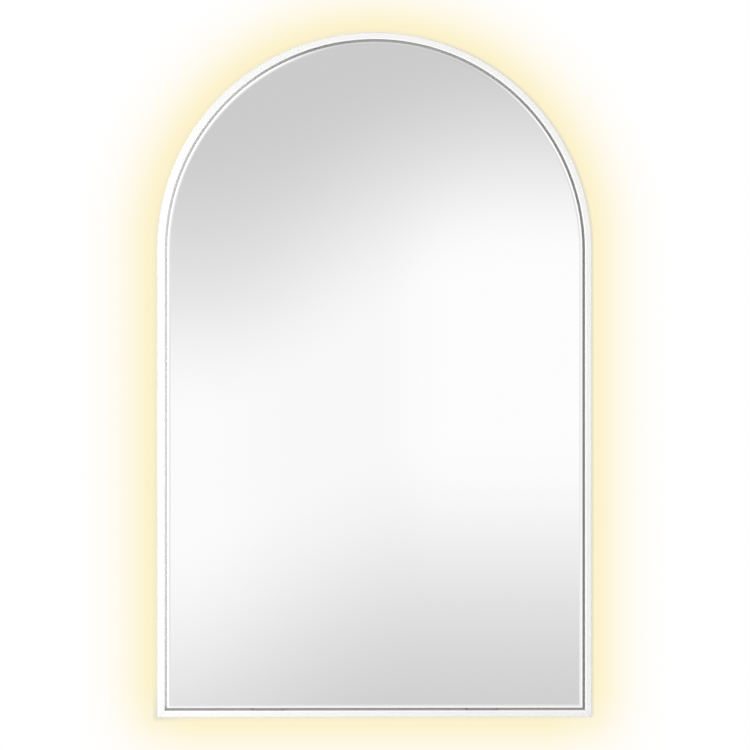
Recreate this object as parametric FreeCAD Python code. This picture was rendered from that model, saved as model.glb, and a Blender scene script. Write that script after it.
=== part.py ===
import FreeCAD, Part
import math
import os

# Backlit arched bathroom mirror: a front-bonded mirror glass in a thin extruded frame, a light
# channel round the back that throws its light outward onto the wall, and a hook bar that hangs
# the whole on a wall rail.
#
# Millimetres. +Z is up, the wall is the plane y = 0 and the glass faces -y. The origin is the
# middle of the wall rail's screw line, on the wall.
#
# Sections are drawn as (inset, depth): inset runs inward from the mirror's outer outline, and
# depth runs from the frame's front face towards the wall.

# ---- Overall size and hanging height ----
mirror_width = 610.0
mirror_height = 960.0
frame_depth = 24.0  # front face to the frame's rear rim
wall_standoff = 21.0  # rear rim to the wall
screw_line_height = 690.0  # wall screws above the mirror's lower edge

# ---- Frame extrusion ----
frame_wall = 1.6
lip_width = 9.5
lip_thick = 1.8
outer_edge_chamfer = 0.9
lip_bevel_width = 2.0  # the lip's inner edge falls away towards the glass
lip_bevel_drop = 0.7
reveal_gap = 3.4  # shadow gap between the lip and the glass
ledge_reach = 30.0  # inset of the ledge's inner edge
key_slot_depth = 3.2
key_slot_width = 10.4
slot_lip_thick = 1.2
slot_lip_reach = 3.0
flange_reach = 14.0
flange_thick = 1.4
mitre_gap = 0.1

# ---- Glass and what it is bonded with ----
glass_recess = 1.0  # front of the glass behind the lip's face
glass_thick = 5.0
bevel_width = 4.6
bevel_drop = 0.9
film_thick = 0.2
film_margin = 0.5
tape_thick = 0.8
tape_width = 14.0
tape_margin = 1.5
setting_block_length = 40.0
setting_block_depth = 3.5
setting_block_offset = 150.0

# ---- Back panel ----
panel_thick = 1.0
panel_gap = 0.4
bead_length = 330.0
bead_width = 16.0
bead_rise = 1.5
bead_slope = 3.0
bead_heights = (-320.0, -430.0)
spacer_size = 60.0
spacer_offset = 140.0
spacer_heights = (-60.0, -510.0)

# ---- Light channel, cover and light strip ----
channel_inset = 28.0  # inset of the channel's open mouth
channel_depth = 10.0
channel_height = 16.0
channel_wall = 1.2
foot_width = 12.0
cover_wall = 1.1
cover_leg = 5.0
cover_clearance = 0.15
strip_width = 10.0
strip_thick = 0.3
chip_length = 3.5
chip_width = 2.8
chip_height = 0.8
chip_pitch = 27.5
strip_break = 16.0  # gap between the strip's two ends, where the lead comes in

# ---- Corner keys and snap rivets ----
key_arm = 44.0
key_clearance = 0.2
rivet_clearance = 0.1
rivet_body = 5.0  # square nylon body
rivet_flange = 8.5
rivet_flange_thick = 1.4
rivet_tip = 1.6
rivet_grip = 7.0  # length of the body under its flange
panel_rivet_inset = 8.0
panel_rivet_pitch = 250.0
channel_rivet_pitch = 300.0
ring_margin = 45.0

# ---- Hanging hardware ----
bar_sheet = 2.0
slip_gap = 1.1
joggle_rise = 4.0
hook_seat_gap = 0.3
rail_length = 440.0
rail_base = 28.0  # height of the rail's flat base, centred on the screws
rail_tongue = 14.0
rail_hole_radius = 2.75
rail_outer_spacing = 406.4
rail_inner_spacing = 203.2
hook_length = 430.0
hook_base = 28.0
crossbar_sheet = 1.5
crossbar_flange = 12.0
crossbar_end_gap = 5.0
lower_crossbar_height = -545.0
lower_crown = 26.0
bumper_radius = 10.0
bumper_draft = 1.5
bumper_offset = 190.0
lift_margin = 1.5

# ---- Driver ----
driver_x = -112.0
driver_z = -150.0
driver_length = 146.0
driver_width = 46.0
driver_height = 16.0
driver_wall = 1.8
driver_lid_thick = 2.0
driver_corner = 4.0
ear_length = 14.0
ear_thick = 3.0
ear_width = 24.0
board_thick = 1.6
board_lift = 2.0
board_clearance = 0.4
transformer_size = (30.0, 8.0, 24.0)
capacitor_size = (16.0, 7.0, 10.0)

# ---- Junction box, terminals and cord bush ----
box_x = 92.0
box_z = -158.0
box_length = 84.0
box_width = 58.0
box_height = 17.0
box_wall = 2.0
box_lid_thick = 2.0
box_corner = 4.0
block_size = (30.0, 9.0, 17.0)
block_poles = 3
bush_x_shift = -20.0
bush_bore = 3.2
bush_body = 9.6
bush_flange = 14.0
bush_flange_thick = 3.0
bush_tail = 3.0  # what stands inside the wall
bush_clearance = 0.1

# ---- Leads and clips ----
mains_lead_radius = 2.6
light_lead_radius = 1.9
lead_clearance = 0.1
lead_height = 9.0  # leads leave their housings this far above the panel
lead_tail = 3.0  # what stands inside a housing's wall
mains_lead_shift = 8.0
clip_length = 7.0
clip_wall = 1.4
clip_foot = 3.5
web_bush_wall = 1.2
web_bush_rim = 1.2

# ---- Places that follow from the sizes above ----
half_width = mirror_width / 2
bottom_z = -screw_line_height
arch_z = bottom_z + mirror_height - half_width
front_y = -(wall_standoff + frame_depth)
glass_inset = lip_width + reveal_gap
glass_back = glass_recess + glass_thick
film_back = glass_back + film_thick
ledge_front = film_back + tape_thick
ledge_back = ledge_front + frame_wall
slot_back = ledge_back + key_slot_depth
slot_inner = frame_wall + key_slot_width
panel_front = frame_depth - panel_thick
flange_front = panel_front - flange_thick
panel_y = -wall_standoff  # the panel's wall side
channel_back = channel_inset + channel_depth
web_front = channel_back - channel_wall
channel_top = frame_depth + channel_height
foot_back = frame_depth + channel_wall
channel_middle = frame_depth + channel_height / 2
foot_rivet_inset = channel_back + foot_width / 2

joggle_step = bar_sheet + 2 * slip_gap
joggle_angle = math.atan2(joggle_step, joggle_rise)
joggle_shift = bar_sheet * math.tan(joggle_angle / 2)
joggle_grade = joggle_rise / joggle_step
seat_lift = hook_seat_gap * math.hypot(1, joggle_grade)
rail_joggle_z = rail_base / 2
rail_top = rail_joggle_z + joggle_rise + rail_tongue
hook_bottom = rail_joggle_z + (slip_gap + bar_sheet) * joggle_grade + seat_lift
hook_joggle_z = rail_top - slip_gap * joggle_grade + seat_lift + joggle_shift
hook_base_z = hook_joggle_z + joggle_rise
crown_y = -(slip_gap + joggle_step + bar_sheet)
crossbar_height = wall_standoff + crown_y
lift_travel = rail_top - hook_bottom + lift_margin


def vec(x, y, z):
    return FreeCAD.Vector(x, y, z)


def depth_y(depth):
    """The y of a depth behind the frame's front face."""
    return front_y + depth


# ---- Drawing helpers ----
def corner_arc(before, corner, after, radius):
    """The start, middle and end of the arc that rounds a corner."""
    back = (before - corner).normalize()
    on = (after - corner).normalize()
    half = back.getAngle(on) / 2
    bisector = (back + on).normalize()
    reach = radius / math.tan(half)
    middle = corner + bisector * (radius / math.sin(half) - radius)
    return corner + back * reach, middle, corner + on * reach


def rounded_edges(points, radii, closed):
    """Lines and tangent arcs through points, each corner rounded by its radius."""
    count = len(points)
    edges = []
    last = None
    first = None
    for i in range(count):
        inner = closed or 0 < i < count - 1
        if inner and radii[i] > 0:
            before = points[i - 1]
            after = points[(i + 1) % count]
            start, middle, end = corner_arc(before, points[i], after, radii[i])
        else:
            start = middle = end = points[i]
        if last is not None and last.distanceToPoint(start) > 1e-6:
            edges.append(Part.LineSegment(last, start).toShape())
        if start is not end:
            edges.append(Part.Arc(start, middle, end).toShape())
        if first is None:
            first = start
        last = end
    if closed and last.distanceToPoint(first) > 1e-6:
        edges.append(Part.LineSegment(last, first).toShape())
    return edges


def drawn_face(corners, place):
    """A face from (a, b) or (a, b, radius) corners, put into space by place(a, b)."""
    points = [place(c[0], c[1]) for c in corners]
    radii = [c[2] if len(c) > 2 else 0 for c in corners]
    return Part.Face(Part.Wire(rounded_edges(points, radii, True)))


def arch_face(inset, depth):
    """The mirror's outline drawn in by inset, at a depth."""
    half = half_width - inset
    foot = bottom_z + inset
    y = depth_y(depth)
    right_foot, left_foot = vec(half, y, foot), vec(-half, y, foot)
    right_spring, left_spring = vec(half, y, arch_z), vec(-half, y, arch_z)
    crown = vec(0, y, arch_z + half)
    edges = [
        Part.LineSegment(left_foot, right_foot).toShape(),
        Part.LineSegment(right_foot, right_spring).toShape(),
        Part.Arc(right_spring, crown, left_spring).toShape(),
        Part.LineSegment(left_spring, left_foot).toShape(),
    ]
    return Part.Face(Part.Wire(edges))


def arch_slab(inset, depth_from, depth_to):
    return arch_face(inset, depth_from).extrude(vec(0, depth_to - depth_from, 0))


def arch_ring(inset_from, inset_to, depth_from, depth_to):
    outer = arch_slab(inset_from, depth_from, depth_to)
    return outer.cut(arch_slab(inset_to, depth_from, depth_to))


def arch_member(corners):
    """A section run up one side, round the arch and down the other."""
    def at_spring(inset, depth):
        return vec(half_width - inset, depth_y(depth), arch_z)

    section = drawn_face(corners, at_spring)
    leg = section.extrude(vec(0, 0, bottom_z - arch_z))
    arch = section.revolve(vec(0, 0, arch_z), vec(0, -1, 0), 180)
    other_leg = leg.mirror(vec(0, 0, 0), vec(1, 0, 0))
    return leg.fuse([arch, other_leg]).removeSplitter()


def bottom_member(corners):
    """The same section run along the straight bottom."""
    def at_left(inset, depth):
        return vec(-half_width, depth_y(depth), bottom_z + inset)

    return drawn_face(corners, at_left).extrude(vec(mirror_width, 0, 0))


def mitre_block(shift):
    """All that lies below the two 45 degree mitres, moved up by shift."""
    reach = ledge_reach + channel_back
    corners = [
        (-half_width - reach, bottom_z - reach + shift),
        (half_width + reach, bottom_z - reach + shift),
        (half_width - reach, bottom_z + reach + shift),
        (-half_width + reach, bottom_z + reach + shift),
    ]
    face = drawn_face(corners, lambda x, z: vec(x, front_y - 1, z))
    return face.extrude(vec(0, 1 - front_y + 1, 0))


def mitred_pair(corners):
    """An arch member and a bottom member of one section, mitred with a fine gap."""
    half_gap = mitre_gap / math.sqrt(2)
    arch = arch_member(corners).cut(mitre_block(half_gap))
    bottom = bottom_member(corners).common(mitre_block(-half_gap))
    return arch.removeSplitter(), bottom.removeSplitter()


def box_between(x, y, z):
    """A box from three (low, high) pairs."""
    return Part.makeBox(x[1] - x[0], y[1] - y[0], z[1] - z[0], vec(x[0], y[0], z[0]))


def rounded_plate(x, y, z, radius):
    """A plate facing y with its four corners rounded."""
    corners = [(x[0], z[0]), (x[1], z[0]), (x[1], z[1]), (x[0], z[1])]
    rounded = [(a, b, radius) for a, b in corners]
    face = drawn_face(rounded, lambda a, b: vec(a, y[0], b))
    return face.extrude(vec(0, y[1] - y[0], 0))


def pin_y(radius, y_from, y_to, x=0.0, z=0.0):
    """A round pin along y."""
    return Part.makeCylinder(radius, y_to - y_from, vec(x, y_from, z), vec(0, 1, 0))


def group(shapes):
    """Separate solids kept in one node."""
    return Part.makeCompound(shapes)


# ---- Places round the mirror ----
def arch_length(inset):
    radius = half_width - inset
    return 2 * (arch_z - bottom_z - inset) + math.pi * radius


def arch_place(inset, run):
    """(x, z, angle) at a run along the outline: up the right leg, round and down the left."""
    radius = half_width - inset
    leg = arch_z - bottom_z - inset
    if run <= leg:
        return radius, bottom_z + inset + run, 0.0
    turn = (run - leg) / radius
    if turn < math.pi:
        return radius * math.cos(turn), arch_z + radius * math.sin(turn), math.degrees(turn)
    return -radius, arch_z - (run - leg - math.pi * radius), 180.0


def even_steps(length, pitch):
    """Places along a length, as near to the pitch as whole steps allow."""
    steps = max(1, round(length / pitch))
    return [length * i / steps for i in range(steps + 1)]


def arch_places(inset, pitch, margin):
    span = arch_length(inset) - 2 * margin
    return [arch_place(inset, margin + run) for run in even_steps(span, pitch)]


def bottom_places(inset, pitch, margin):
    span = mirror_width - 2 * inset - 2 * margin
    start = -span / 2
    return [(start + run, bottom_z + inset, -90.0) for run in even_steps(span, pitch)]


def placed(shape, place, y=0.0):
    """A shape drawn with x pointing outward, turned and moved to a place on the outline."""
    x, z, angle = place
    copy = shape.copy()
    copy.rotate(vec(0, 0, 0), vec(0, -1, 0), angle)
    copy.translate(vec(x, y, z))
    return copy


# ---- Snap rivets ----
def snap_rivet(grip):
    """A square nylon rivet along y: flange at the wall side, split tip towards the glass."""
    half = rivet_flange / 2
    flange = box_between((-half, half), (0, rivet_flange_thick), (-half, half))
    body = square_bar(rivet_body, -grip, 0)
    tip = Part.makeLoft(
        [
            square_wire(rivet_body, -grip),
            square_wire(rivet_body - rivet_tip, -grip - rivet_tip),
        ],
        True,
        True,
    )
    return flange.fuse([body, tip]).removeSplitter()


def square_wire(side, y):
    half = side / 2
    corners = [(-half, -half), (half, -half), (half, half), (-half, half), (-half, -half)]
    return Part.makePolygon([vec(a, y, b) for a, b in corners])


def square_bar(side, y_from, y_to):
    half = side / 2
    return box_between((-half, half), (y_from, y_to), (-half, half))


def punched(shape, places, y_from, y_to):
    """A shape with a square rivet hole at each place."""
    cutter = square_bar(rivet_body + 2 * rivet_clearance, y_from, y_to)
    return shape.cut(group([placed(cutter, place) for place in places]))


def panel_rivet_places():
    sides = arch_places(panel_rivet_inset, panel_rivet_pitch, ring_margin)
    bottom = bottom_places(panel_rivet_inset, panel_rivet_pitch, 2 * ring_margin)
    return sides, bottom


def channel_rivet_places():
    sides = arch_places(foot_rivet_inset, channel_rivet_pitch, ring_margin)
    bottom = bottom_places(foot_rivet_inset, channel_rivet_pitch, 2 * ring_margin)
    return sides, bottom


def housing_rivet_places():
    return [(x, z, 0.0) for x, z in ear_places() + floor_rivet_places()]


# ---- Frame ----
def frame_section():
    """Outer wall, front lip, glass ledge, corner-key slot and rear flange."""
    lip_back = slot_back + slot_lip_thick
    stem = slot_inner + slot_lip_thick
    return [
        (0, outer_edge_chamfer),
        (outer_edge_chamfer, 0),
        (lip_width - lip_bevel_width, 0),
        (lip_width, lip_bevel_drop),
        (lip_width, ledge_front),
        (ledge_reach, ledge_front),
        (ledge_reach, ledge_back),
        (stem, ledge_back),
        (stem, lip_back),
        (slot_inner - slot_lip_reach, lip_back),
        (slot_inner - slot_lip_reach, slot_back),
        (slot_inner, slot_back),
        (slot_inner, ledge_back),
        (frame_wall, ledge_back),
        (frame_wall, slot_back),
        (frame_wall + slot_lip_reach, slot_back),
        (frame_wall + slot_lip_reach, lip_back),
        (frame_wall, lip_back),
        (frame_wall, flange_front),
        (flange_reach, flange_front),
        (flange_reach, panel_front),
        (frame_wall, panel_front),
        (frame_wall, frame_depth),
        (0, frame_depth),
    ]


def lip_pocket():
    """The closed hollow behind the front lip."""
    inner = lip_width - frame_wall
    return [
        (frame_wall, lip_thick),
        (inner, lip_thick),
        (inner, ledge_front),
        (frame_wall, ledge_front),
    ]


def make_frame():
    arch, bottom = mitred_pair(frame_section())
    arch = arch.cut(arch_member(lip_pocket()))
    bottom = bottom.cut(bottom_member(lip_pocket()))
    sides, foot = panel_rivet_places()
    y = (depth_y(flange_front) - 1, panel_y)
    return punched(arch, sides, *y), punched(bottom, foot, *y)


def make_corner_keys():
    """Angle plates crimped into the slots of both extrusions at each mitre."""
    inner = frame_wall + key_clearance
    outer = slot_inner - key_clearance
    corners = [
        (inner, inner),
        (inner + key_arm, inner),
        (inner + key_arm, outer),
        (outer, outer),
        (outer, inner + key_arm),
        (inner, inner + key_arm),
    ]
    y_front = depth_y(ledge_back + key_clearance)
    y_back = depth_y(slot_back - key_clearance)
    face = drawn_face(corners, lambda a, b: vec(half_width - a, y_front, bottom_z + b))
    key = face.extrude(vec(0, y_back - y_front, 0))
    return group([key, key.mirror(vec(0, 0, 0), vec(1, 0, 0))])


# ---- Glass ----
def make_glass():
    """A slab with a flat polished bevel round its front."""
    bevel_back = glass_recess + bevel_drop
    slab = arch_slab(glass_inset, bevel_back, glass_back)
    front = arch_face(glass_inset + bevel_width, glass_recess)
    back = arch_face(glass_inset, bevel_back)
    bevel = Part.makeLoft([back.OuterWire, front.OuterWire], True, True)
    return slab.fuse(bevel).removeSplitter()


def make_film():
    return arch_slab(glass_inset + film_margin, glass_back, film_back)


def make_tape():
    start = glass_inset + tape_margin
    return arch_ring(start, start + tape_width, film_back, ledge_front)


def make_setting_blocks():
    """Silicone blocks that carry the glass on the bottom rail's reveal wall."""
    half = setting_block_length / 2
    z = (bottom_z + lip_width, bottom_z + glass_inset)
    y = (depth_y(glass_back - setting_block_depth), depth_y(glass_back))
    places = (-setting_block_offset, setting_block_offset)
    return group([box_between((x - half, x + half), y, z) for x in places])


def make_spacers():
    """Foam blocks between the glass and the back panel, so that neither drums."""
    half = spacer_size / 2
    y = (depth_y(film_back), depth_y(panel_front))
    blocks = []
    for x in (-spacer_offset, spacer_offset):
        for z in spacer_heights:
            blocks.append(box_between((x - half, x + half), y, (z - half, z + half)))
    return group(blocks)


# ---- Back panel ----
def bead(z, grow, y_from, y_to):
    """A long raised bar with pointed ends and sloped sides, grown outward by grow."""
    wires = []
    for y, inset in ((y_from, 0), (y_to, bead_slope)):
        half_width_here = bead_width / 2 - inset + grow
        half_length = bead_length / 2 - inset + grow
        shoulder = half_length - half_width_here
        corners = [
            (-half_length, 0),
            (-shoulder, -half_width_here),
            (shoulder, -half_width_here),
            (half_length, 0),
            (shoulder, half_width_here),
            (-shoulder, half_width_here),
            (-half_length, 0),
        ]
        wires.append(Part.makePolygon([vec(a, y, z + b) for a, b in corners]))
    return Part.makeLoft(wires, True, True)


def make_panel():
    """Sheet steel with two pressed stiffening beads and its rivet holes."""
    panel = arch_slab(frame_wall + panel_gap, panel_front, frame_depth)
    top = panel_y + bead_rise
    for z in bead_heights:
        outer = bead(z, panel_thick, panel_y, top)
        inner = bead(z, 0, panel_y - panel_thick, top - panel_thick)
        panel = panel.fuse(outer).cut(inner)
    places = sum((*panel_rivet_places(), *channel_rivet_places()), housing_rivet_places())
    return punched(panel, places, panel_y - 2 * panel_thick, panel_y + panel_thick)


def make_panel_rivets():
    sides, bottom = panel_rivet_places()
    one = snap_rivet(rivet_grip)
    return group([placed(one, place, panel_y) for place in sides + bottom])


# ---- Light channel ----
def channel_section():
    """An outward-facing channel with a foot to fix it to the panel."""
    low = frame_depth + channel_wall
    high = channel_top - channel_wall
    return [
        (channel_inset, frame_depth),
        (channel_back + foot_width, frame_depth),
        (channel_back + foot_width, foot_back),
        (channel_back, foot_back),
        (channel_back, channel_top),
        (channel_inset, channel_top),
        (channel_inset, high),
        (web_front, high),
        (web_front, low),
        (channel_inset, low),
    ]


def cover_section():
    """A milky cover pressed between the channel's flanges."""
    face = channel_inset + cover_clearance
    inside = face + cover_wall
    end = face + cover_leg
    low = frame_depth + channel_wall + cover_clearance
    high = channel_top - channel_wall - cover_clearance
    return [
        (face, low),
        (face, high),
        (end, high),
        (end, high - cover_wall),
        (inside, high - cover_wall),
        (inside, low + cover_wall),
        (end, low + cover_wall),
        (end, low),
    ]


def lead_entry():
    """The x of the left leg's web on its inner side, and the z of the lead that enters there."""
    return -(half_width - channel_back), driver_z


def web_bush_sizes():
    """Half widths of the bush's bore wall and of its rims."""
    neck = light_lead_radius + lead_clearance + web_bush_wall
    return neck, neck + web_bush_rim


def make_channel():
    arch, bottom = mitred_pair(channel_section())
    x, z = lead_entry()
    neck = web_bush_sizes()[0] + bush_clearance
    middle = depth_y(channel_middle)
    window = box_between(
        (x - 2 * channel_wall, x + channel_wall), (middle - neck, middle + neck), (z - neck, z + neck)
    )
    sides, foot = channel_rivet_places()
    y = (panel_y - 1, panel_y + 2 * channel_wall)
    return punched(arch.cut(window), sides, *y), punched(bottom, foot, *y)


def make_channel_rivets():
    sides, bottom = channel_rivet_places()
    one = snap_rivet(rivet_grip)
    return group([placed(one, place, panel_y + channel_wall) for place in sides + bottom])


def make_strip():
    """One flexible light strip round the whole channel, its ends apart where the lead is."""
    half = strip_width / 2
    depths = (channel_middle - half, channel_middle + half)
    ring = arch_ring(web_front - strip_thick, web_front, *depths)
    x, z = lead_entry()
    half_break = strip_break / 2
    gap = box_between((x - channel_depth, x), (panel_y, 0), (z - half_break, z + half_break))
    return ring.cut(gap)


def make_packages():
    """Light packages at a steady pitch on the strip."""
    base = web_front - strip_thick
    middle = depth_y(channel_middle)
    package = box_between(
        (0, chip_height),
        (middle - chip_width / 2, middle + chip_width / 2),
        (-chip_length / 2, chip_length / 2),
    )
    places = arch_places(base, chip_pitch, chip_pitch / 2)
    places += bottom_places(base, chip_pitch, chip_pitch / 2)
    entry_x, entry_z = lead_entry()
    clear = strip_break / 2 + chip_length
    kept = [p for p in places if p[0] > entry_x or abs(p[1] - entry_z) > clear]
    return group([placed(package, place) for place in kept])


def make_web_bush():
    """A square snap bush in the web with a rim on each side and a bore for the lead."""
    x, z = lead_entry()
    middle = depth_y(channel_middle)
    neck, rim = web_bush_sizes()
    left = x - channel_wall

    def square(half, x_from, x_to):
        return box_between((x_from, x_to), (middle - half, middle + half), (z - half, z + half))

    outer_rim = square(rim, left - web_bush_rim - strip_thick, left)
    inner_rim = square(rim, x, x + web_bush_rim)
    body = square(neck, left, x).fuse([outer_rim, inner_rim])
    bore = light_lead_radius + lead_clearance
    start = vec(left - 2 * web_bush_rim, middle, z)
    return body.removeSplitter().cut(Part.makeCylinder(bore, 10 * web_bush_rim, start, vec(1, 0, 0)))


# ---- Hanging hardware ----
def joggled_bar(length, wall_y, low_z, joggle_z, high_z):
    """A flat bar with one joggle away from the wall, drawn on its end as (y, z)."""
    out_y = wall_y - joggle_step
    corners = [
        (wall_y, low_z),
        (wall_y, joggle_z),
        (out_y, joggle_z + joggle_rise),
        (out_y, high_z),
        (out_y - bar_sheet, high_z),
        (out_y - bar_sheet, joggle_z + joggle_rise - joggle_shift),
        (wall_y - bar_sheet, joggle_z - joggle_shift),
        (wall_y - bar_sheet, low_z),
    ]
    face = drawn_face(corners, lambda y, z: vec(-length / 2, y, z))
    return face.extrude(vec(length, 0, 0))


def make_wall_rail():
    """The bar screwed to the wall; its raised upper edge takes the mirror's hook."""
    rail = joggled_bar(rail_length, 0.0, -rail_base / 2, rail_joggle_z, rail_top)
    spacings = (-rail_outer_spacing, -rail_inner_spacing, rail_inner_spacing, rail_outer_spacing)
    holes = [pin_y(rail_hole_radius, -2 * bar_sheet, bar_sheet, spacing / 2) for spacing in spacings]
    return rail.cut(group(holes))


def make_hook():
    """The bar on the mirror whose lower edge drops behind the wall rail."""
    top = hook_base_z + hook_base
    return joggled_bar(hook_length, -slip_gap, hook_bottom, hook_joggle_z, top)


def crossbar(low_z, crown, length):
    """A hat-section bar welded to the back panel, from its crown's lower edge upward."""
    t = crossbar_sheet
    top_y = panel_y + crossbar_height
    corners = [
        (panel_y, low_z - crossbar_flange),
        (panel_y, low_z + t),
        (top_y - t, low_z + t),
        (top_y - t, low_z + crown - t),
        (panel_y, low_z + crown - t),
        (panel_y, low_z + crown + crossbar_flange),
        (panel_y + t, low_z + crown + crossbar_flange),
        (panel_y + t, low_z + crown),
        (top_y, low_z + crown),
        (top_y, low_z),
        (panel_y + t, low_z),
        (panel_y + t, low_z - crossbar_flange),
    ]
    face = drawn_face(corners, lambda y, z: vec(-length / 2, y, z))
    return face.extrude(vec(length, 0, 0))


def foot_reach(z):
    """How far from the middle the light channel's foot lies at a height."""
    radius = half_width - channel_back - foot_width
    return math.sqrt(radius ** 2 - max(0.0, z - arch_z) ** 2)


def make_upper_crossbar():
    top = hook_base_z + hook_base + crossbar_flange
    length = 2 * (foot_reach(top) - crossbar_end_gap)
    return crossbar(hook_base_z, hook_base, length)


def bumper_places():
    z = lower_crossbar_height + lower_crown / 2
    return [(-bumper_offset, z, 0.0), (bumper_offset, z, 0.0)]


def make_lower_crossbar():
    length = 2 * (foot_reach(lower_crossbar_height) - crossbar_end_gap)
    bar = crossbar(lower_crossbar_height, lower_crown, length)
    return punched(bar, bumper_places(), crown_y - 2 * crossbar_sheet, crown_y + 1)


def make_bumpers():
    """Tapered rubber buffers that rest on the wall, their square stems in the crossbar."""
    cap = Part.makeCone(
        bumper_radius, bumper_radius - bumper_draft, -crown_y, vec(0, crown_y, 0), vec(0, 1, 0)
    )
    stem = square_bar(rivet_body, crown_y - 2 * crossbar_sheet, crown_y)
    one = cap.fuse(stem)
    return group([placed(one, place) for place in bumper_places()])


# ---- Driver ----
def driver_span():
    half_l, half_w = driver_length / 2, driver_width / 2
    return (driver_x - half_l, driver_x + half_l), (driver_z - half_w, driver_z + half_w)


def ear_places():
    """The rivets in the driver's two ears."""
    reach = driver_length / 2 + ear_length / 2
    return [(driver_x - reach, driver_z), (driver_x + reach, driver_z)]


def tray(x, z, y_from, y_to, wall, corner):
    """An open tray with its mouth towards the wall."""
    outer = rounded_plate(x, (y_from, y_to), z, corner)
    inside = box_between(
        (x[0] + wall, x[1] - wall), (y_from + wall, y_to), (z[0] + wall, z[1] - wall)
    )
    return outer.cut(inside)


def side_hole(x, y, z, radius, wall):
    """A hole along x through an upright wall, for a lead."""
    return Part.makeCylinder(radius + lead_clearance, 4 * wall, vec(x - 2 * wall, y, z), vec(1, 0, 0))


def mains_lead_z():
    return driver_z - mains_lead_shift


def make_driver_case():
    x, z = driver_span()
    top = panel_y + driver_height - driver_lid_thick
    case = tray(x, z, panel_y, top, driver_wall, driver_corner)
    ear_z = (driver_z - ear_width / 2, driver_z + ear_width / 2)
    ear_y = (panel_y, panel_y + ear_thick)
    left_ear = box_between((x[0] - ear_length, x[0] + driver_wall), ear_y, ear_z)
    right_ear = box_between((x[1] - driver_wall, x[1] + ear_length), ear_y, ear_z)
    case = case.fuse([left_ear, right_ear])
    ears = [(a, b, 0.0) for a, b in ear_places()]
    case = punched(case, ears, panel_y - 1, ear_y[1] + 1)
    mains = side_hole(x[1], panel_y + lead_height, mains_lead_z(), mains_lead_radius, driver_wall)
    light = side_hole(x[0], depth_y(channel_middle), driver_z, light_lead_radius, driver_wall)
    return case.cut(group([mains, light])).removeSplitter()


def make_driver_lid():
    """A lid with a locating rim inside the case's walls."""
    x, z = driver_span()
    top = panel_y + driver_height
    seam = top - driver_lid_thick
    lid = rounded_plate(x, (seam, top), z, driver_corner)
    edge = driver_wall + board_clearance / 2
    rim_x, rim_z = (x[0] + edge, x[1] - edge), (z[0] + edge, z[1] - edge)
    rim = box_between(rim_x, (seam - ear_thick / 2, seam), rim_z)
    hollow_x, hollow_z = (rim_x[0] + 1, rim_x[1] - 1), (rim_z[0] + 1, rim_z[1] - 1)
    rim = rim.cut(box_between(hollow_x, (seam - ear_thick / 2, seam), hollow_z))
    return lid.fuse(rim).removeSplitter()


def make_driver_board():
    """A circuit board on pillars with its transformer and capacitors."""
    x, z = driver_span()
    edge = driver_wall + board_clearance
    floor = panel_y + driver_wall
    y = (floor + board_lift, floor + board_lift + board_thick)
    board_x = (x[0] + edge, x[1] - edge)
    board_z = (z[0] + edge, z[1] - edge)
    board = box_between(board_x, y, board_z)
    pillar = board_lift
    for px in (board_x[0] + pillar, board_x[1] - 2 * pillar):
        for pz in (board_z[0] + pillar, board_z[1] - 2 * pillar):
            board = board.fuse(box_between((px, px + pillar), (floor, y[0]), (pz, pz + pillar)))
    parts = [(driver_x, transformer_size)]
    spread = transformer_size[0] / 2 + capacitor_size[0]
    parts += [(driver_x - spread, capacitor_size), (driver_x + spread, capacitor_size)]
    for centre, (length, height, width) in parts:
        span_x = (centre - length / 2, centre + length / 2)
        span_z = (driver_z - width / 2, driver_z + width / 2)
        board = board.fuse(box_between(span_x, (y[1], y[1] + height), span_z))
    return board.removeSplitter()


def make_housing_rivets():
    """Rivets through the driver's ears and the junction box's floor."""
    one = snap_rivet(rivet_grip)
    ears = [placed(one, (x, z, 0.0), panel_y + ear_thick) for x, z in ear_places()]
    floor = [placed(one, (x, z, 0.0), panel_y + box_wall) for x, z in floor_rivet_places()]
    return group(ears + floor)


# ---- Junction box ----
def box_span():
    half_l, half_w = box_length / 2, box_width / 2
    return (box_x - half_l, box_x + half_l), (box_z - half_w, box_z + half_w)


def floor_rivet_places():
    """Rivets through the box's floor in two opposite corners."""
    x, z = box_span()
    reach = box_wall + rivet_flange
    return [(x[0] + reach, z[0] + reach), (x[1] - reach, z[1] - reach)]


def bush_axis():
    """x and y of the cord bush, which points down from the box's lower wall."""
    return box_x + bush_x_shift, panel_y + lead_height


def bush_block(side, z_from, z_to):
    bx, by = bush_axis()
    half = side / 2
    return box_between((bx - half, bx + half), (by - half, by + half), (z_from, z_to))


def make_junction_box():
    x, z = box_span()
    top = panel_y + box_height - box_lid_thick
    case = tray(x, z, panel_y, top, box_wall, box_corner)
    floor = [(a, b, 0.0) for a, b in floor_rivet_places()]
    case = punched(case, floor, panel_y - 1, panel_y + box_wall + 1)
    lead = side_hole(x[0], panel_y + lead_height, mains_lead_z(), mains_lead_radius, box_wall)
    entry = bush_block(bush_body + 2 * bush_clearance, z[0] - box_wall, z[0] + 2 * box_wall)
    return case.cut(group([lead, entry])).removeSplitter()


def make_junction_lid():
    """A snap lid whose rim drops inside the box's walls."""
    x, z = box_span()
    top = panel_y + box_height
    seam = top - box_lid_thick
    lid = rounded_plate(x, (seam, top), z, box_corner)
    edge = box_wall + bush_clearance
    rim_y = (seam - box_wall / 2, seam)
    rim = box_between((x[0] + edge, x[1] - edge), rim_y, (z[0] + edge, z[1] - edge))
    edge += box_wall / 2
    rim = rim.cut(box_between((x[0] + edge, x[1] - edge), rim_y, (z[0] + edge, z[1] - edge)))
    return lid.fuse(rim).removeSplitter()


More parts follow.
